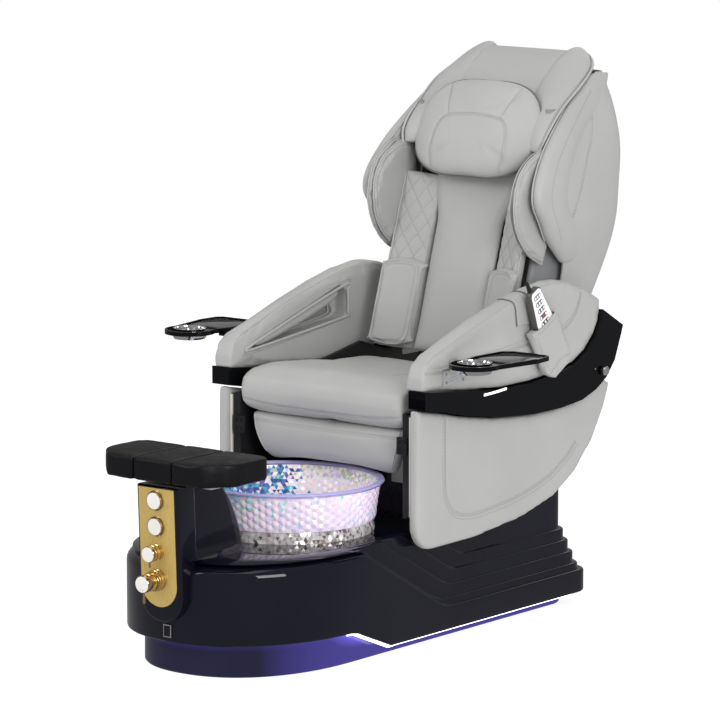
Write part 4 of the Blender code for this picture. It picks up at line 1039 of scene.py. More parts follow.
def make_column():
    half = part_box("footrest_column")[1].x
    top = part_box("footrest_column")[1].z
    front = -0.745
    tongue = leaning(slab("column_tongue", tongue_outline(half, 0.145, top), front, -0.672, "XZ", 0.009,
                          5))
    dress(tongue, BLACK, "base", ["footrest_column"])

    rows = []
    foot = ((-0.001, 0.012), (0.002, 0.008), (0.005, 0.0045), (0.010, 0.0018), (0.018, 0.0))
    levels = [(DECK + rise, flare) for rise, flare in foot]
    levels += [(float(height), 0.0) for height in np.linspace(DECK + 0.030, top - 0.002,
                                                              16)] + [(top, -0.002)]
    for height, flare in levels:
        ring = []
        radius = 0.016
        for cx, cy, start in ((1, 1, 0), (-1, 1, 1), (-1, -1, 2), (1, -1, 3)):
            for step in range(7):
                angle = pi / 2 * (start + step / 6)
                x = cx * (half - 0.001 - radius) + (radius + flare) * cos(angle)
                rear = float(np.interp(height, COLUMN_REAR_HEIGHTS, COLUMN_REAR))
                y = (rear - radius if cy > 0 else -0.70 + radius) + (radius + flare) * sin(angle)
                ring.append((x, y, height))
        rows.append(ring)
    behind = lattice("column_body", rows, around=True, angle=30)
    dress(behind, BLACK, "base")

    low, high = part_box("control_plate")
    plate = leaning(slab("gold_plate", tongue_outline(high.x, low.z, high.z), front - 0.0034,
                         front - 0.0004, "XZ",
                         0.001, 2))
    dress(plate, GOLD, "base", ["control_plate"])

    for number, height in ((1, 0.463), (2, 0.396)):
        radius = 0.0235
        ring = lathe("button_bezel_%d" % number, [(radius + 0.0026, -0.0005), (radius + 0.0026, 0.0030),
                                                  (radius + 0.0018, 0.0034), (radius + 0.0007, 0.0030),
                                                  (radius + 0.0007, -0.0005)], on_plate(height), OUTWARD)
        dress(ring, POLISHED_GOLD, "base")
        cap = [(0, 0.0038), (radius - 0.0014, 0.0038), (radius, 0.0046), (radius, 0.0088),
               (radius - 0.0008, 0.0098),
               (radius - 0.0022, 0.0102), (0, 0.0102)]
        body = "push_button_%d" % number
        side = lathe("button_side_%d" % number, cap, on_plate(height), OUTWARD)
        dress(side, POLISHED_GOLD, body, [body])
        face = lathe("button_face_%d" % number, [(0, 0.0100), (radius - 0.0020, 0.0100),
                                                 (radius - 0.0024, 0.0106),
                                                 (radius * 0.5, 0.0110), (0, 0.0111)], on_plate(height),
                     OUTWARD)
        dress(face, PEARL, body)

    knob_profile = [(0, 0.0006), (0.0200, 0.0006), (0.0212, 0.0018), (0.0212, 0.0090), (0.0195, 0.0100),
                    (0.0195, 0.0122), (0.0212, 0.0132), (0.0212, 0.0235), (0.0195, 0.0245),
                    (0.0195, 0.0262),
                    (0.0212, 0.0272), (0.0212, 0.0380), (0.0202, 0.0396), (0, 0.0396)]
    make_knob("diverter_knob", knob_profile, 0.330, 0.0212, 0.0396, (0.013, 0.035), 0.0028)
    collar = lathe("mixer_collar", [(0, 0.0), (0.027, 0.0), (0.028, 0.001), (0.028, 0.006),
                                    (0.0262, 0.0072),
                                    (0.0262, 0.011), (0.0275, 0.012), (0.0275, 0.0175), (0.0255, 0.019),
                                    (0.0255, 0.0285), (0.0245, 0.030), (0, 0.030)], on_plate(0.258),
                   OUTWARD)
    dress(collar, POLISHED_GOLD, "base")
    mixer_profile = [(0, 0.0306), (0.0215, 0.0306), (0.0227, 0.0316), (0.0227, 0.0440), (0.0212, 0.0450),
                     (0.0212, 0.0468), (0.0227, 0.0478), (0.0227, 0.0640), (0.0215, 0.0658), (0, 0.0658)]
    make_knob("mixer_knob", mixer_profile, 0.258, 0.0227, 0.0658, (0.014, 0.051), 0.0036)
    for name, x, look in (("mixer_red_dot", -0.004, RED), ("mixer_blue_dot", 0.004, BLUE)):
        dot = lathe(name, [(0, 0.0658), (0.0015, 0.0658), (0.0013, 0.0668), (0, 0.0670)],
                    on_plate(0.244, 0, x), OUTWARD, 16)
        dress(dot, look, "mixer_knob")


def make_knob(name, profile, height, radius, front, lever, thick):
    """A turned knob with a pale face and a lever that hangs from its rim."""
    knob = lathe(name + "_body", profile, on_plate(height), OUTWARD)
    dress(knob, POLISHED_GOLD, name, [name])
    face = lathe(name + "_face", [(0, front - 0.0002), (radius - 0.0018, front - 0.0002),
                                  (radius - 0.0022, front + 0.0006),
                                  (radius * 0.4, front + 0.0011), (0, front + 0.0012)],
                 on_plate(height), OUTWARD)
    dress(face, PEARL, name)
    rows = []
    for share, swell in ((0.0, 0.8), (0.3, 0.85), (0.8, 1.1), (0.95, 1.15), (1.0, 0.7)):
        drop = lever[0] + (lever[1] - lever[0]) * share
        centre = on_plate(height - drop, front - 0.007)
        rows.append([centre + Vector((thick * swell * cos(2 * pi * k / 16),
                                      thick * 0.8 * swell * sin(2 * pi * k / 16), 0))
                     for k in range(16)])
    dress(lattice(name + "_lever", rows, around=True, angle=50), POLISHED_GOLD, name)


def make_footrest():
    for side in ("left", "middle", "right"):
        node = "footrest_pad_" + side
        pad = soft_copy(node, node + "_vinyl", 0.005, 3, 0.0)
        inflate(pad, 1.0, 0.001)
        fit_box(pad, node, 0.0)
        low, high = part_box(node)
        places = points_of(pad.data)
        centre_x, centre_y = (low.x + high.x) / 2, (low.y + high.y) / 2
        crown = (1 - ((places[:, 0] - centre_x) / (high.x - low.x) * 1.9) ** 2).clip(0, 1)
        crown *= (1 - ((places[:, 1] - centre_y) / (high.y - low.y) * 1.9) ** 2).clip(0, 1)
        up = smooth_step(high.z - 0.02, high.z - 0.004, places[:, 2])
        places[:, 2] += up * (crown * 0.0045 - 0.0015)
        move_points(pad, places)
        dress(pad, VINYL, "footrest", [node])
        # faces that point up get the copy with painted sheen
        pad.data.materials.append(VINYL_PAINTED_SHEEN)
        for face in pad.data.polygons:
            if face.normal.z > 0.8:
                face.material_index = 1
    dress_node("footrest_post", STEEL)


def dress_node(node, look, bevel=0.0, angle=35):
    """Keep a CAD node and give it a finished material, and rounded edges if asked for."""
    item = frame["nodes"][node]
    item.data.materials.clear()
    item.data.materials.append(look)
    if bevel:
        modify(item, "WELD", merge_threshold=0.00001)
        modify(item, "BEVEL", width=bevel, segments=3, limit_method="ANGLE", angle_limit=radians(angle))
    return item


# ---------------------------------------------------------------- upholstery

PIECES = []


def record(item, look, body, slot="grey_leather", nodes=(), fill=None):
    """Dress a piece and remember it, so that its twin can be made on the other side."""
    dress(item, look, body, nodes)
    PIECES.append((item, look, body, slot, nodes, fill))
    return item


def make_twins(start):
    """Mirror every piece recorded since start to the left."""
    for item, look, body, slot, nodes, fill in PIECES[start:]:
        twin = mirrored(item, item.name.replace("right", "left"))
        copied = list(item.data.materials)
        dress(twin, look, body.replace("right", "left"),
              [node.replace("right", "left") for node in nodes])
        for extra in copied[1:]:
            twin.data.materials.append(extra)


def pad(node, body, look=None, voxel=0.007, rounding=8, pressure=4.0, cap=0.008, fill=0.8, shape=None,
        calm=2):
    item = soft_copy(node, node + "_leather", voxel, rounding)
    inflate(item, pressure, cap, calm=calm)
    fit_box(item, node)
    if shape:
        move_points(item, shape(points_of(item.data)))
    return record(item, look or GREY, body, "grey_leather", [node], fill)


def sewn(name, item, points, body, direction=None, rows=(-0.0035, 0.0035), depth=0.0018, width=0.0035,
         look=None):
    """A pressed seam with rows of stitches."""
    laid = lay_on(skin_of(item), resample(points, 0.006), direction)
    if len(laid) < 3:
        return
    press(item, [place for place, _ in laid], width, depth)
    tree = skin_of(item)
    middle = lay_on(tree, [place for place, _ in laid])
    for index, amount in enumerate(rows, 1):
        side = lay_on(tree, [place for place, _ in offset_line(middle, amount)], None, 0.0003)
        record(stitch_row("%s_stitches_%d" % (name, index), side), look or THREAD, body)


def welt(name, item, points, body, radius=0.0026, direction=None, closed=False, sink=0.25, look=None):
    """Round piping sewn along an edge."""
    laid = lay_on(skin_of(item), resample(points, 0.006, closed), direction, radius * (1 - sink))
    if len(laid) < 3:
        return
    record(tube(name, [place for place, _ in laid], radius, closed, 2), look or PIPING, body)


def flat_points(pairs, x):
    return [(x, y, z) for y, z in pairs]


# headrest: a pillow in its own frame, up along the back and out of it
PILLOW_FOOT = Vector((0, 0.586, 1.138))
PILLOW_UP = Vector((0, 0.120, 0.258)).normalized()
PILLOW_OUT = Vector((0, -PILLOW_UP.z, PILLOW_UP.y))
PILLOW_TALL = 0.2846
PILLOW_HALF = 0.203
PILLOW_MIDDLE = 0.042
PILLOW_POWER = 2.75                       # 2 would make the outline an ellipse


def on_pillow(u, v, out=0.0):
    """u from -1 to 1 across, v from 0 to 1 up the pillow."""
    return (PILLOW_FOOT + PILLOW_UP * PILLOW_TALL * v + PILLOW_OUT * (PILLOW_MIDDLE + out)
            + Vector((u * PILLOW_HALF * (1.02 - 0.06 * v), 0, 0)))


def pillow_outline(angle):
    """u and v on the pillow's rounded outline."""
    c, s = cos(angle), sin(angle)
    u = abs(c) ** (2 / PILLOW_POWER) * (1 if c > 0 else -1)
    v = abs(s) ** (2 / PILLOW_POWER) * (1 if s > 0 else -1)
    return u, 0.5 + 0.5 * v


def pillow_form():
    """Two shallow domes that meet at the outline."""
    rows = []
    shares = [0.02, *np.linspace(0.08, 0.90, 15), 0.94, 0.97, 0.99, 1.0]
    for side, height in ((1, 0.036), (-1, -0.026)):
        for share in shares if side > 0 else shares[::-1][1:]:
            share = float(share)
            out = height * (1 - share ** 4.2) ** 0.5
            row = []
            for step in range(96):
                u, v = pillow_outline(2 * pi * step / 96)
                row.append(on_pillow(u * share, 0.5 + (v - 0.5) * share, out))
            rows.append(row)
    return lattice("headrest_pillow_leather", rows, around=True, angle=180)


def make_headrest():
    pillow = pillow_form()
    inflate(pillow, 4.0, 0.006, calm=3)
    record(pillow, GREY, "backrest", "grey_leather", ["headrest_pillow"], 0.8)
    half = [(0.55, 0.04), (0.60, 0.20), (0.60, 0.37), (0.56, 0.49), (0.46, 0.565), (0.22, 0.595)]
    arch = [(-u, v) for u, v in half] + [(0.0, 0.600)] + half[::-1]
    arch = curve_through(arch, 6)
    sewn("headrest_arch", pillow, [on_pillow(u, v, 0.1) for u, v in arch], "backrest", -PILLOW_OUT,
         (-0.0035, 0.0035), 0.0030, 0.0035)
    for side_name, sign in SIDES:
        short = [on_pillow(sign * (0.44 + 0.17 * t), 0.585 + 0.36 * t, 0.1) for t in (0, 0.33, 0.66, 1)]
        sewn("headrest_short_" + side_name, pillow, short, "backrest", -PILLOW_OUT, (0.0030,), 0.0028,
             0.0032)
    rim = []
    for step in range(72):
        u, v = pillow_outline(2 * pi * step / 72)
        rim.append(on_pillow(u * 1.04, 0.5 + (v - 0.5) * 1.04, 0.0))
    # the headrest's piping is darkened as painted shadow in its crease
    welt("headrest_piping", pillow, rim, "backrest", 0.0024, closed=True, look=PAINTED_SHADOW_THREAD)


HOOD_EDGE = (                              # inner Y and Z, outer X, Y and Z of the pads beside the hood
    (0.622, 1.235, 0.228, 0.572, 1.235),
    (0.634, 1.264, 0.238, 0.582, 1.264),
    (0.650, 1.308, 0.240, 0.608, 1.300),
    (0.676, 1.356, 0.237, 0.665, 1.349),
    (0.712, 1.400, 0.239, 0.730, 1.394),
    (0.754, 1.436, 0.230, 0.790, 1.426),
    (0.798, 1.466, 0.214, 0.836, 1.450),
    (0.838, 1.481, 0.188, 0.866, 1.467),
    (0.866, 1.481, 0.160, 0.884, 1.476),
    (0.884, 1.477, 0.132, 0.892, 1.478),
)


def make_hood_sides():
    """The draped pads that join the hood to the shell's front edge."""
    start = len(PIECES)
    rows = []
    rim = []
    edge = curve_through(HOOD_EDGE, 5)
    for index, (inner_y, inner_z, outer_x, outer_y, outer_z) in enumerate(edge):
        full = sin(pi / 2 * min(1, (len(edge) - 1 - index) / 9, 0.3 + index / 8))
        inner = Vector((0.126, inner_y + 0.002, inner_z))
        outer = Vector((outer_x, outer_y, outer_z))
        across = (outer - inner).normalized()
        ahead = Vector(edge[min(index + 1, len(edge) - 1)][2:]) - Vector(edge[max(index - 1, 0)][2:])
        out = across.cross(ahead).normalized()
        if out.y > 0:
            out = -out
        row = []
        for share in np.linspace(0, 1, 15):
            swell = 0.003 + 0.020 * full * sin(pi * min(1, share * 0.93 + 0.07)) ** 0.7
            row.append(inner + (outer - inner) * float(share) + out * swell)
        rim.append(outer + out * 0.003 + across * 0.002)
        for share in np.linspace(1, 0, 15):
            row.append(inner + (outer - inner) * float(share) - out * 0.010 * full)
        rows.append(row)
    side = lattice("hood_side_pad_right", rows, around=True, angle=180)
    modify(side, "SMOOTH", factor=0.5, iterations=3)
    modify(side, "SUBSURF", levels=1, render_levels=1)
    flatten(side)
    record(shade(side, 180), GREY, "backrest", "grey_leather")
    record(tube("hood_side_piping_right", resample(rim, 0.007), 0.0036), PIPING, "backrest")
    inset = [place + Vector((-0.009, -0.001, 0.002)) for place in rim[2:-2]]
    laid = lay_on(skin_of(side), resample(inset, 0.006), None, 0.0003)
    record(stitch_row("hood_side_stitches_right", laid), THREAD, "backrest")
    make_twins(start)


def round_hood(places):
    """The hood falls away towards its sides, under the side pads."""
    beyond = np.maximum(0, np.abs(places[:, 0]) - 0.105) / 0.09
    places[:, 1] += 0.034 * beyond ** 1.5 * smooth_step(1.36, 1.43, places[:, 2])
    places[:, 2] -= 0.010 * beyond ** 1.5 * smooth_step(1.40, 1.46, places[:, 2])
    return places


def make_hood():
    pad("hood_cushion", "backrest", voxel=0.008, rounding=6, cap=0.008, shape=round_hood)
    flap = soft_copy("hood_flap", "hood_flap_leather", 0.0045, 5, 0.0)
    record(shade(modify_flat(flap), 180), GREY, "backrest", "grey_leather", ["hood_flap"], 0.8)
    low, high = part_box("hood_flap")
    for side_name, sign in SIDES:
        tree = skin_of(flap)
        run = []
        for y in np.linspace(low.y + 0.01, high.y - 0.02, 26):
            place, _, _, _ = tree.ray_cast(Vector((sign * 0.10, y, 1.7)), Vector((0, 0, -1)))
            if place is None:
                continue
            edge, _, _, _ = tree.ray_cast(Vector((sign * 0.4, place.y, place.z - 0.003)),
                                          Vector((-sign, 0, 0)))
            if edge is not None:
                run.append(edge)
        if len(run) > 4:
            record(tube("hood_flap_piping_" + side_name, resample(run, 0.008), 0.0030), PIPING,
                   "backrest")
            inset = [p - Vector((sign * 0.011, 0, 0)) for p in run]
            laid = lay_on(tree, resample(inset, 0.006), None, 0.0003)
            record(stitch_row("hood_flap_stitches_" + side_name, laid), THREAD, "backrest")


def modify_flat(item):
    modify(item, "SUBSURF", levels=1, render_levels=1)
    return flatten(item)


def back_front(z):
    """Y of the back's face at a height."""
    heights = (0.690, 0.790, 0.920, 1.050, 1.145, 1.176)
    return float(np.interp(z, heights, (0.462, 0.492, 0.530, 0.570, 0.603, 0.611)))


QUILT_WIDE, QUILT_TALL = 0.040, 0.062


def quilted(item, sign):
    """Diamond quilting: valleys along both diagonals with puffed diamonds between them."""
    places, normals = points_of(item.data), normals_of(item.data)
    x = places[:, 0] * sign - 0.1125
    z = places[:, 2]
    first = x / QUILT_WIDE + z / QUILT_TALL
    second = x / QUILT_WIDE - z / QUILT_TALL
    near = np.minimum(np.abs(first - np.round(first)), np.abs(second - np.round(second)))
    away = near * QUILT_WIDE * 0.83
    facing = np.clip(-normals[:, 1], 0, 1) * smooth_step(0.108, 0.118, places[:, 0] * sign)
    puff = 0.0010 * smooth_step(0, 0.012, away) - 0.0014 * np.exp(-(away / 0.0020) ** 2)
    return move_points(item, places + normals * (puff * facing)[:, None])


def quilt_stitches(item, side_name):
    tree = skin_of(item)
    low, high = 0.92, 1.16
    runs = []
    for lean in (1, -1):
        for number in range(-60, 60):
            run = []
            for x in np.arange(0.004, 0.112, 0.006):
                z = lean * (number - x / QUILT_WIDE) * QUILT_TALL
                if not low < z < high:
                    continue
                place, normal, _, _ = tree.ray_cast(Vector((0.1125 + x, 0.0, z)), Vector((0, 1, 0)))
                if place is not None and place.y < back_front(z) + 0.03:
                    run.append((place + normal * 0.0003, normal))
            if len(run) > 3:
                runs.append(run)
    for index, run in enumerate(runs, 1):
        record(stitch_row("quilt_%s_stitches_%d" % (side_name, index), run, 0.0065, 0.0042, 0.00055),
               THREAD, "backrest")


def flare_top(places):
    """The middle panel widens and comes forward a little under the headrest."""
    rise = smooth_step(1.025, 1.145, places[:, 2])
    places[:, 0] *= 1 + 0.28 * rise
    places[:, 1] -= 0.009
    return places


def make_back_pads():
    pad("back_centre_panel", "backrest", voxel=0.007, rounding=4, cap=0.006, shape=flare_top)
    start = len(PIECES)
    quilt = pad("quilted_panel_right", "backrest", voxel=0.0042, rounding=4, cap=0.004)
    quilted(quilt, 1)
    quilt_stitches(quilt, "right")
    edge = [(0.2215, back_front(z) - 0.045, z) for z in np.linspace(0.72, 1.15, 30)]
    welt("quilt_piping_right", quilt, edge, "backrest", 0.0028)

    lumbar = pad("lumbar_pad_right", "backrest", voxel=0.0045, rounding=6, cap=0.006, shape=round_lumbar)
    border = rounded_border(0.121, 0.222, 0.700, 0.922, 0.030)
    front = [Vector((x, back_front(z) - 0.2, z)) for x, z in border]
    laid = lay_on(skin_of(lumbar), resample(front, 0.006, True), (0, 1, 0))
    record(tube("lumbar_piping_right", [p for p, _ in laid], 0.0024, True, 2), PIPING, "backrest")
    border = rounded_border(0.129, 0.214, 0.709, 0.913, 0.024)
    front = [Vector((x, back_front(z) - 0.2, z)) for x, z in border]
    sewn("lumbar_right", lumbar, front + front[:1], "backrest", (0, 1, 0), (0.0,), 0.0012, 0.0030)
    make_twins(start)


def round_lumbar(places):
    """Round the pad's upper and lower outer corners."""
    u = (places[:, 0] - 0.172) / 0.056
    t = (places[:, 2] - 0.811) / 0.122
    corner = np.maximum(0, np.abs(u) - 0.35) * np.maximum(0, np.abs(t) - 0.72)
    squeeze = 1 - 0.55 * np.clip(corner / 0.18, 0, 1)
    places[:, 2] = 0.811 + t * 0.122 * (1 - (1 - squeeze) * 0.28)
    places[:, 0] = np.where(u < 0, places[:, 0] + u * 0.010, places[:, 0])
    return places


def rounded_border(left, right, low, high, corner):
    border = []
    for cx, cy, start in ((right - corner, high - corner, 0), (left + corner, high - corner, 1),
                          (left + corner, low + corner, 2), (right - corner, low + corner, 3)):
        for step in range(7):
            angle = pi / 2 * (start + step / 6)
            border.append((cx + corner * cos(angle), cy + corner * sin(angle)))
    return border


WING = ((0.558, 0.932), (0.505, 0.958), (0.452, 1.012), (0.426, 1.080), (0.432, 1.150), (0.466, 1.208),
        (0.528, 1.246), (0.585, 1.255), (0.626, 1.232), (0.640, 1.130), (0.600, 1.020), (0.572, 0.955))


def make_wings():
    """Each shoulder wing is two thin pads with a dark gap between them."""
    start = len(PIECES)
    outline = curve_through([*WING, WING[0]], 5)[:-1]
    centre = Vector((0.54, 1.10))
    for number, (low, high, size) in enumerate(((0.2250, 0.2368, 0.94), (0.2412, 0.2518, 0.985)), 1):
        points = [tuple(centre + (Vector(p) - centre) * size) for p in outline]
        item = slab("wing_pad_%d_right" % number, points, low, high, "YZ", 0.004, 2)
        modify(item, "REMESH", mode="VOXEL", voxel_size=0.0045)
        modify(item, "SMOOTH", factor=0.5, iterations=8)
        flatten(item)
        inflate(item, 4.0, 0.005)
        record(item, GREY, "backrest", "grey_leather", ["shoulder_wing_right"] if number == 1 else [],
               0.8)
        middle = (low + high) / 2
        edge = [(middle, *tuple(centre + (Vector(p) - centre) * 1.02)) for p in points]
        welt("wing_piping_%d_right" % number, item, edge, "backrest", 0.0022, closed=True)
        for face_name, x, ray in (("outer", 0.4, (-1, 0, 0)), ("inner", 0.1, (1, 0, 0))):
            inset = [(x, *tuple(centre + (Vector(p) - centre) * 0.88)) for p in points]
            if (face_name == "outer") == (number == 2):
                sewn("wing_%s_right" % face_name, item, inset + inset[:1], "backrest", ray, (0.0,),
                     0.0010, 0.003)
    make_twins(start)


SHELL_STATIONS = (                         # front Y, rear Y, Z, half width, share the front is drawn in
    (0.575, 0.710, 0.640, 0.240, 0.00),
    (0.605, 0.830, 0.780, 0.250, 0.00),
    (0.640, 0.930, 0.930, 0.262, 0.00),
    (0.556, 0.952, 1.030, 0.292, 0.01),
    (0.506, 0.955, 1.130, 0.306, 0.03),
    (0.572, 0.958, 1.240, 0.302, 0.07),
    (0.700, 0.930, 1.350, 0.278, 0.07),
    (0.830, 0.888, 1.440, 0.240, 0.03),
)
SHELL_WALL = 0.006
LIP = (                                    # (X from the shell's side, Y from its front edge)
    (-0.020, 0.050), (-0.026, 0.020), (-0.029, -0.008), (-0.026, -0.026), (-0.016, -0.038),
       (-0.004, -0.038),
    (0.005, -0.026), (0.009, -0.002), (0.0095, 0.028), (0.007, 0.060), (0.002, 0.095), (-0.004, 0.100),
)


def make_bolsters():
    """The padded lip along each side of the shell, rolled round its front edge."""
    start = len(PIECES)
    rows = []
    edge = [(half_width * (1 - pinch), front, z)
            for front, _, z, half_width, pinch in curve_through(SHELL_STATIONS[2:], 7)]
    for index, (x_edge, y_edge, z) in enumerate(edge):
        taper = min(1, 0.35 + 0.12 * index, 0.5 + 0.09 * (len(edge) - 1 - index))
        loop = curve_through([*LIP, LIP[0]], 3)[:-1]
        rows.append([(x_edge + x * taper, y_edge + 0.006 + y * taper, z) for x, y in loop])
    lip = lattice("side_lip_right", rows, around=True, angle=180)
    inflate(lip, 3.0, 0.004)
    record(lip, GREY, "backrest", "grey_leather", ["side_bolster_right"], 0.8)
    for name, x, y in (("front", -0.020, -0.0365), ("rear", 0.012, 0.012)):
        path = [(x_edge + x, y_edge + y, z) for x_edge, y_edge, z in edge[5:-4]]
        laid = lay_on(skin_of(lip), resample(path, 0.006), None, 0.0003)
        record(stitch_row("side_lip_%s_stitches_right" % name, laid), THREAD, "backrest")
        if name == "front":
            line = [place + Vector((-0.004, 0, 0)) for place, _ in laid]
            record(tube("side_lip_piping_right", resample(line, 0.007), 0.0026), PIPING, "backrest")
    make_twins(start)


def shell_ring(front, rear, height, half_width, pinch, inset, count=121):
    """Points at an even pitch round one level of the shell, from one front edge to the other."""
    fine = np.geomspace(1e-6, pi / 4, 90)
    quarter = np.concatenate([[0.0], fine, pi / 2 - fine[::-1][1:], [pi / 2]])
    ring = []
    for angle in np.concatenate([quarter, pi - quarter[::-1][1:]]):
        across, along = cos(angle), abs(sin(angle))
        side = half_width * (1 - pinch * (1 - along) ** 2) - inset
        x = side * (1 if across >= 0 else -1) * abs(across) ** 0.36
        ring.append((x, front + (rear - inset - front) * along ** 0.46, height))
    steps = np.cumsum([0.0] + [(Vector(b) - Vector(a)).length for a, b in zip(ring, ring[1:])])
    marks = np.linspace(0, steps[-1], count)
    return [tuple(np.interp(mark, steps,
                            [point[axis] for point in ring]) for axis in range(3)) for mark in marks]


def make_shell():
    """The outer shell: leather drawn over a moulding, with a long stitched seam on each side."""
    rows = []
    stations = curve_through(SHELL_STATIONS, 6)
    for index, station in enumerate(stations):
        at_end = index in (0, len(stations) - 1)
        outer = shell_ring(*station, SHELL_WALL / 2 if at_end else 0.0)
        inner = shell_ring(*station, SHELL_WALL / 2 if at_end else SHELL_WALL)
        rows.append(outer + inner[::-1])
    shell = lattice("back_shell_leather", rows, around=True, ends="open", angle=180)
    modify(shell, "SMOOTH", factor=0.5, iterations=2)
    flatten(shell)
    record(shade(shell, 60), GREY, "backrest", "grey_leather", ["back_shell"], 0.8)
    line = curve_through([(0.775, 1.405), (0.766, 1.340), (0.742, 1.270), (0.711, 1.216), (0.658, 1.111),
                          (0.625, 1.030)], 6)
    for side_name, sign in SIDES:
        sewn("shell_seam_" + side_name, shell, [(sign * 0.6, y, z) for y, z in line], "backrest",
             (-sign, 0, 0),
             (-0.003, 0.003), 0.0012, 0.003)


def make_linings():
    """Leather between the quilted panels and the shell's sides, darkened as painted shade."""
    start = len(PIECES)
    rows = []
    for front, _, z, half_width, pinch in curve_through(SHELL_STATIONS[1:7], 5):
        edge = half_width * (1 - pinch) - 0.010
        face = back_front(z)
        bend = [(0.208, face + 0.020, z), (0.224, face + 0.034, z), (0.236,
                                                                     max(face + 0.044, front + 0.055), z),
                (edge - 0.006, max(face + 0.040, front + 0.060), z), (edge, front + 0.035, z)]
        rows.append(curve_through(bend, 3))
    lining = lattice("back_lining_right", rows, ends="open", angle=180)
    modify(lining, "SOLIDIFY", thickness=0.003, offset=0.0)
    flatten(lining)
    record(shade(lining, 180), SHADED_GREY, "backrest", "grey_leather")
    make_twins(start)


def drop_front(places):
    """The seat's front roll hangs a little lower than its top."""
    places[:, 2] -= 0.008 * smooth_step(0.14, -0.04, places[:, 1])
    return places


def make_seat():
    seat = pad("seat_cushion", "chair", voxel=0.009, rounding=16, pressure=5.0, cap=0.014,
               shape=drop_front)
    ends = np.linspace(-0.262, 0.262, 60)
    line = [(x, -0.3, 0.597 + 0.012 * (abs(x) / 0.262) ** 4) for x in ends]
    sewn("seat_front", seat, line, "chair", (0, 1, 0), (-0.0045, 0.0045), 0.0030, 0.004)
    for side_name, sign in SIDES:
        inner = [(sign * 0.165, y, 1.0) for y in np.linspace(0.02, 0.42, 30)]
        sewn("seat_side_" + side_name, seat, inner, "chair", (0, 0, -1), (0.004,), 0.0035, 0.005)
        for number, y in enumerate(np.linspace(0.06, 0.40, 7), 1):
            across = [(sign * x, y, 1.0) for x in np.linspace(0.172, 0.256, 12)]
            sewn("seat_channel_%s_%d" % (side_name, number), seat, across, "chair", (0, 0, -1), (),
                 0.0030, 0.005)

    calf = pad("calf_pad", "chair", voxel=0.008, rounding=10, pressure=4.0, cap=0.010)
    line = [(x, -0.3, 0.548) for x in np.linspace(-0.243, 0.243, 50)]
    sewn("calf_top", calf, line, "chair", (0, 1, 0), (-0.004, 0.004), 0.0026, 0.004)
    for side_name, sign in SIDES:
        run = [(sign * (0.243 - 0.036 * t ** 1.5), -0.3,
                0.565 - 0.105 * t) for t in np.linspace(0, 0.95, 20)]
        laid = lay_on(skin_of(calf), resample(run, 0.006), (0, 1, 0))
        record(tube("calf_piping_" + side_name, [p for p, _ in laid], 0.0024), PIPING, "chair")


SLEEVE = ((-0.02, 0.742), (0.36, 0.852), (0.385, 0.835), (0.385, 0.780), (0.36, 0.768), (-0.02, 0.730))


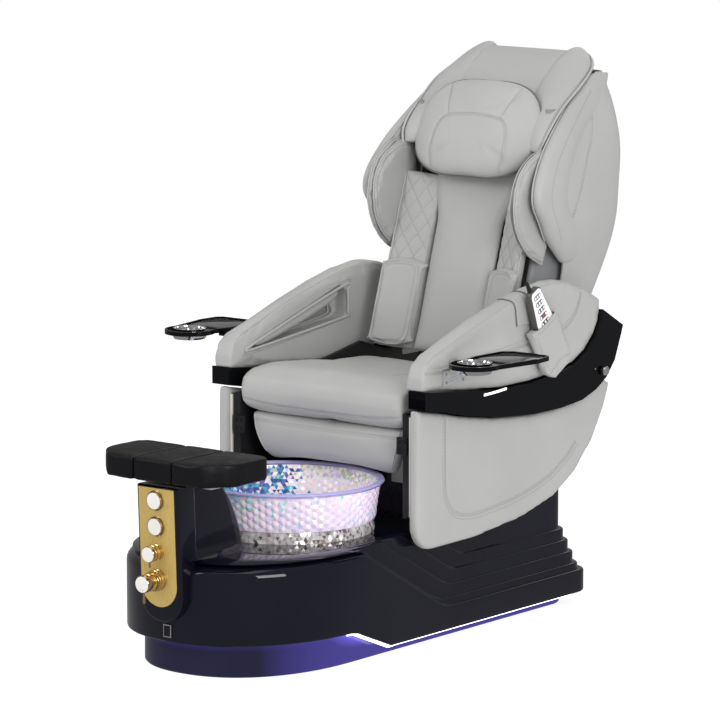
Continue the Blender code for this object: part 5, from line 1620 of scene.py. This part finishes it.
def make_armrests():
    start = len(PIECES)
    arm = pad("armrest_pad_right", "armrest_right", voxel=0.0052, rounding=9, pressure=3.0, cap=0.006)
    outer = [(-0.100, 0.735), (-0.023, 0.732), (0.15, 0.742), (0.334, 0.7565), (0.430, 0.762),
             (0.490, 0.7705),
             (0.545, 0.792), (0.580, 0.825), (0.600, 0.868)]
    outer = curve_through(outer, 6)
    sewn("arm_outer_right", arm, flat_points(outer, 0.6), "armrest_right", (-1, 0, 0),
         (-0.0038, 0.0038), 0.0028,
         0.0036)
    extra = [(y, z + 0.012) for y, z in outer]
    sewn("arm_outer_extra_right", arm, flat_points(extra, 0.6), "armrest_right", (-1, 0, 0), (0.0,),
         0.0006, 0.003)
    ridge = [(-0.078, 0.760), (0.0, 0.797), (0.14, 0.840), (0.28, 0.878), (0.38, 0.899), (0.47, 0.909),
             (0.54, 0.902),
             (0.62, 0.875)]
    for name, x in (("inner", 0.296), ("outer", 0.343)):
        run = [(x, y, z + 0.05) for y, z in curve_through(ridge, 6)]
        sewn("arm_ridge_%s_right" % name, arm, run, "armrest_right", (0, 0, -1), (0.0,), 0.0016, 0.003)

    centre = Vector((0.22, 0.795))
    mouth = [centre + (Vector(p) - centre) * 1.03 for p in SLEEVE]
    loop = resample([(0.2845, y, z) for y, z in curve_through([*mouth, mouth[0]], 5)[:-1]], 0.007, True)
    lip = tube("sleeve_lip_right", loop, 0.0040, True, 3)
    record(lip, GREY, "armrest_right", "grey_leather")
    for grow, number in ((1.075, 1), (1.10, 2)):
        wide = [centre + Vector(((p[0] - centre.x) * (grow - 0.03),
                                 (p[1] - centre.y) * grow * 1.12)) for p in SLEEVE]
        path = [(0.1, y, z) for y, z in curve_through([*wide, wide[0]], 5)]
        laid = lay_on(skin_of(arm), resample(path, 0.006), (1, 0, 0), 0.0003)
        laid = [pair for pair in laid if pair[0].x < 0.30]
        record(stitch_row("sleeve_mouth_stitches_%d_right" % number, laid), THREAD, "armrest_right")
    rows = []
    for step in range(34):
        y = -0.012 + 0.388 * step / 33
        low = float(np.interp(y, (-0.02, 0.36, 0.385), (0.730, 0.768, 0.780)))
        high = float(np.interp(y, (-0.02, 0.36, 0.385), (0.742, 0.852, 0.835)))
        row = []
        for column in range(12):
            z = low + (high - low) * (0.04 + 0.92 * column / 11)
            fold = 0.0055 * sin(y * 46 + z * 35) * sin(pi * column / 11)
            row.append((0.3305 + fold, y, z))
        rows.append(row)
    # the sleeve's lining is darkened as painted shade
    lining = lattice("sleeve_lining_right", rows, ends="none", angle=180)
    modify(lining, "SOLIDIFY", thickness=0.0014, offset=0)
    flatten(lining)
    record(shade(lining, 180), SHADED_GREY, "armrest_right", "grey_leather")
    rows = []
    roll = curve_through([(0.004, 0.7385), (0.06, 0.7530), (0.16, 0.7790), (0.26, 0.8050),
                          (0.335, 0.8260), (0.366, 0.8360)], 5)
    for index, (y, z) in enumerate(roll):
        share = index / (len(roll) - 1)
        radius = 0.0035 + 0.0130 * sin(pi * share ** 0.75) ** 0.8
        rows.append([(0.3000 + radius * 0.8 * cos(2 * pi * step / 20), y,
                      z + radius * sin(2 * pi * step / 20))
                     for step in range(20)])
    cuff = lattice("sleeve_cuff_right", rows, around=True, angle=180)
    inflate(cuff, 3.0, 0.003)
    record(cuff, GREY, "armrest_right", "grey_leather", fill=0.7)
    for number, lift in ((1, 0.55), (2, 0.75)):
        line = [(0.1, y, z - 0.016 * lift * sin(pi * index / (len(roll) - 1)))
                for index, (y, z) in enumerate(roll[2:-2], 2)]
        laid = lay_on(skin_of(cuff), resample(line, 0.006), (1, 0, 0), 0.0003)
        record(stitch_row("sleeve_cuff_stitches_%d_right" % number, laid), THREAD, "armrest_right")
    hem = curve_through([(0.06, 0.7435), (0.20, 0.7600), (0.335, 0.7760), (0.350, 0.7900),
                         (0.345, 0.8080)], 6)
    record(tube("sleeve_hem_right", resample(flat_points(hem, 0.3230), 0.006), 0.0022), PIPING,
           "armrest_right")
    make_twins(start)

    start = len(PIECES)
    panel = pad("lower_panel_right", "chair", voxel=0.0075, rounding=5, pressure=2.0, cap=0.003,
                fill=0.85)
    line = [(0.012, 0.628), (0.010, 0.520), (0.010, 0.430), (0.018, 0.385), (0.045, 0.352),
            (0.090, 0.335),
            (0.170, 0.332), (0.320, 0.346), (0.450, 0.375), (0.540, 0.415), (0.600, 0.460)]
    line = curve_through(line, 6)
    sewn("panel_right", panel, flat_points(line, 0.6), "chair", (-1, 0, 0), (-0.004, 0.004, 0.0125),
         0.0030, 0.0038)
    make_twins(start)


def make_strap_and_pocket():
    """The strap over the right armrest's ridge that carries the remote's pocket."""
    pocket = pad("remote_pocket", "armrest_right", voxel=0.0034, rounding=9, pressure=4.0, cap=0.005)
    lean = radians(28)

    def at(u, v, x):
        return (x, 0.385 + u * cos(lean) - v * sin(lean), 0.818 + u * sin(lean) + v * cos(lean))

    mouth = [at(u, -0.006 - 0.006 * (1 - (u / 0.06) ** 2), 0.6) for u in np.linspace(-0.054, 0.050, 20)]
    sewn("pocket_mouth_right", pocket, mouth, "armrest_right", (-1, 0, 0), (0.0,), 0.0010, 0.0025)
    bottom = [at(u, -0.128 + 0.004 * cos(u * 60), 0.6) for u in np.linspace(-0.052, 0.050, 20)]
    sewn("pocket_bottom_right", pocket, bottom, "armrest_right", (-1, 0, 0), (0.004,), 0.0025, 0.004)
    for name, edge in (("front", -0.058), ("rear", 0.052)):
        run = [at(edge * (1 - 0.10 * t), -0.012 - 0.105 * t, 0.6) for t in np.linspace(0, 1, 20)]
        sewn("pocket_%s_right" % name, pocket, run, "armrest_right", (-1, 0, 0), (0.0,), 0.0008, 0.0025)

    tree = skin_of(bpy.data.objects["armrest_pad_right_leather"])
    rows = []
    for t in np.linspace(0, 1, 26):
        y_middle = 0.315 + 0.020 * t
        half = 0.030 + 0.006 * t
        row = []
        for share in np.linspace(-1, 1, 7):
            y = y_middle + share * half
            if t < 0.35:
                start, ray = Vector((0.300 + 0.045 * t / 0.35, y, 1.1)), Vector((0, 0, -1))
            else:
                start, ray = Vector((0.6, y, 0.880 - 0.070 * (t - 0.35) / 0.65)), Vector((-1, 0, 0))
            place, normal, _, _ = tree.ray_cast(start, ray)
            if place is None:
                place, normal, _, _ = tree.find_nearest(start)
            row.append(place + normal * 0.0016)
        rows.append(row)
    strap = lattice("pocket_strap_right", rows, ends="none", angle=180)
    modify(strap, "SMOOTH", factor=0.5, iterations=4)
    modify(strap, "SOLIDIFY", thickness=0.0026, offset=0)
    modify(strap, "SUBSURF", levels=1, render_levels=1)
    flatten(strap)
    record(shade(strap, 180), GREY, "armrest_right", "grey_leather")
    # dark lines along the strap's edges are painted shadow
    for name, index in (("front", 0), ("rear", -1)):
        run = resample([row[index] + Vector((0.001, 0, 0.001)) for row in rows], 0.006)
        record(tube("strap_edge_%s_right" % name, run, 0.0014), PAINTED_SHADOW_THREAD, "armrest_right")


# ---------------------------------------------------------------- hard parts of the chair

def make_trims():
    for side_name, sign in SIDES:
        body = "armrest_" + side_name
        dress_node("armrest_trim_" + side_name, TRIM_BLACK, 0.0022)
        tree = skin_of(frame["nodes"]["armrest_trim_" + side_name])
        middle = [(0.150, 0.6475), (0.200, 0.6490), (0.250, 0.6520), (0.300, 0.6560), (0.330, 0.6590)]
        rows = []
        for y, z in curve_through(middle, 4):
            place, _, _, _ = tree.ray_cast(Vector((sign * 0.6, y, z)), Vector((-sign, 0, 0)))
            if place is None:
                continue
            ring = []
            for step in range(12):
                angle = 2 * pi * step / 12
                ring.append((place.x + sign * (0.0004 + 0.0010 * sin(angle)), y, z + 0.0034 * cos(angle)))
            rows.append(ring)
        bar = lattice("light_bar_" + side_name, rows, around=True, angle=60)
        dress(bar, WHITE_LIGHT, body)
        for number, y in enumerate((-0.075, -0.045), 1):
            place, _, _, _ = tree.ray_cast(Vector((sign * 0.34, y, 0.9)), Vector((0, 0, -1)))
            if place is not None:
                tick = slab("trim_tick_%d_%s" % (number, side_name),
                            [(sign * 0.325, y), (sign * 0.352, y), (sign * 0.352, y + 0.004),
                             (sign * 0.325, y + 0.004)],
                            place.z - 0.001, place.z + 0.0005, "XY", 0.0003, 1)
                dress(tick, CHROME, body)
        cap = lathe("pivot_cap_" + side_name, [(0, 0.0), (0.0125, 0.0), (0.0128, 0.004), (0.0122, 0.0105),
                                              (0.0108, 0.0122), (0.006, 0.0118), (0, 0.0124)],
                    (sign * 0.3625, 0.690, 0.644), (sign, 0, 0), 40)
        dress(cap, CHROME, body)


def make_trays():
    for side_name, sign in SIDES:
        body = "tray_" + side_name
        dress_node("tray_" + side_name, TRIM_BLACK, 0.0014)
        outline = [(0.424, 0.030), (0.545, 0.030), (0.554, 0.098), (0.549, 0.152), (0.540, 0.161),
                   (0.445, 0.161),
                   (0.424, 0.145), (0.416, 0.060)]
        glass = slab("tray_smoked_insert_" + side_name, [(sign * x, y) for x, y in outline], 0.7625,
                     0.7665, "XY",
                     0.0012, 2)
        dress(glass, SMOKED, body)
        radius, top = 0.0455, 0.773
        profile = [(0, -0.0268), (radius - 0.007, -0.0268), (radius - 0.0048, -0.0245),
                   (radius - 0.0045, -0.003),
                   (radius - 0.0040, 0.0), (radius - 0.0018, 0.0008), (radius - 0.0004, 0.0),
                   (radius - 0.0004, -0.023),
                   (radius - 0.003, -0.0287), (0, -0.0287)]
        cup = lathe("cup_well_" + side_name, profile, (sign * 0.477, -0.054, top), UP, 72)
        dress(cup, CHROME, body, ["cup_holder_" + side_name])
        ring = lathe("cup_grip_ring_" + side_name, [(radius - 0.0075, -0.0264),
                                                    (radius - 0.0095, -0.0256),
                                                   (radius - 0.0135, -0.0256),
                                                    (radius - 0.0155, -0.0264)],
                     (sign * 0.477, -0.054, top), UP, 48)
        dress(ring, CHROME, body)
        dress_node("tray_bracket_" + side_name, STEEL, 0.0006)
        for y in (-0.014, 0.058):
            for z in (0.702, 0.724):
                head = lathe("bracket_screw_%s_%d" % (side_name, round((y + z) * 1000)),
                             [(0, 0.0), (0.0042, 0.0), (0.0041, 0.0024), (0.0032, 0.0034),
                              (0.0014, 0.0036),
                              (0.0012, 0.0022), (0, 0.0022)], (sign * 0.3556, y, z), (sign, 0, 0), 20)
                dress(head, CHROME, "armrest_" + side_name)


def make_remote():
    lean = radians(28)

    def yz(u, v):
        return (0.385 + u * cos(lean) - v * sin(lean), 0.818 + u * sin(lean) + v * cos(lean))

    def at(u, v, x):
        return Vector((x, *yz(u, v)))

    def rounded(points, corner):
        path = []
        count = len(points)
        for index in range(count):
            here = Vector(points[index])
            for other in (points[index - 1], points[(index + 1) % count]):
                toward = Vector(other) - here
                path.append(here + toward.normalized() * min(corner, toward.length * 0.45))
        return [tuple(p) for p in path]

    wide = 0.040
    outline = rounded([(-wide, -0.092), (wide, -0.092), (wide, 0.0), (0.024, 0.100), (-0.024, 0.100),
                       (-wide, 0.0)],
                      0.007)
    body = slab("remote_shell", [yz(*p) for p in outline], 0.3665, 0.3838, "YZ", 0.003, 4)
    dress(body, GREY_PLASTIC, "remote", ["remote_body"])
    face = rounded([(-wide + 0.0045, -0.080), (wide - 0.0045, -0.080), (wide - 0.0045, 0.0),
                    (0.0205, 0.0965),
                    (-0.0205, 0.0965), (-wide + 0.0045, 0.0)], 0.006)
    plate = slab("remote_face", [yz(*p) for p in face], 0.3840, 0.3853, "YZ", 0.0005, 2)
    dress(plate, WHITE, "remote", ["remote_keypad"])
    for row in range(5):
        v = 0.078 - 0.0200 * row
        spread = 0.0098 + 0.0008 * row
        length = spread + 0.0055
        pill = []
        for cu, start in ((length - 0.0055, -90), (-length + 0.0055, 90)):
            for step in range(9):
                angle = radians(start + 180 * step / 8)
                pill.append((cu + 0.0055 * cos(angle), v + 0.0065 * sin(angle)))
        ring = slab("remote_key_row_%d" % (row + 1), [yz(*p) for p in pill], 0.3850, 0.3858, "YZ",
                    0.0002, 1)
        dress(ring, KEY_RING, "remote")
        for column in (-1, 0, 1):
            u = column * spread
            pill = [(u + 0.0038 * cos(2 * pi * k / 20),
                     v + 0.0044 * sin(2 * pi * k / 20)) for k in range(20)]
            key = slab("remote_key_%d_%d" % (row + 1, column + 2), [yz(*p) for p in pill], 0.3853,
                       0.3864, "YZ",
                       0.0003, 2)
            dress(key, RED if (row, column) == (3, 0) else WHITE, "remote")
    rows = []
    for number in range(13):
        v = 0.098 + 0.034 * number / 12
        radius = (0.0072 - 0.0026 * number / 12) * (0.9 if number % 2 else 1.0)
        centre = at(-0.010 - 0.002 * number / 12, v, 0.37525)
        along = (at(0, 1, 0) - at(0, 0, 0)).normalized()
        side = along.cross(Vector((1, 0, 0)))
        rows.append([centre + Vector((1, 0,
                                      0)) * radius * cos(2 * pi * k / 20) + side * radius * sin(2 * pi * k / 20)
                     for k in range(20)])
    boot = lattice("remote_cord_boot", rows, around=True, angle=25)
    dress(boot, BLACK_PLASTIC, "remote")


def make_frames():
    for side_name, sign in SIDES:
        dress_node("side_frame_" + side_name, DARK_STEEL, 0.0012)
        dress_node("seat_rail_" + side_name, DARK_STEEL, 0.0012)
        dress_node("kneading_arm_" + side_name, DARK_STEEL, 0.0010)
        strip = slab("panel_back_strip_" + side_name,
                     [(sign * 0.2970, 0.352), (sign * 0.3030, 0.352), (sign * 0.3030, 0.615),
                      (sign * 0.2970, 0.615)],
                     -0.096, -0.088, "XZ", 0.0012, 2)
        dress(strip, BEIGE, "chair")
    for node, look, edge in (("seat_frame", DARK_STEEL, 0.0012), ("back_frame", DARK_STEEL, 0.0),
                             ("massage_carriage", DARK_STEEL, 0.0012), ("power_box", GREY_PLASTIC, 0.003),
                             ("drain_pipe", CHROME, 0.0), ("drain_stopper", CHROME, 0.0),
                             ("jet_housing", CHROME, 0.0006),
                             ("jet_impeller", WHITE, 0.0004)):
        dress_node(node, look, edge)


make_stage()
make_base()
make_basin()
make_column()
make_footrest()
make_shell()
make_linings()
make_bolsters()
make_hood()
make_hood_sides()
make_headrest()
make_back_pads()
make_wings()
make_seat()
make_armrests()
make_strap_and_pocket()
make_trims()
make_trays()
make_remote()
make_frames()
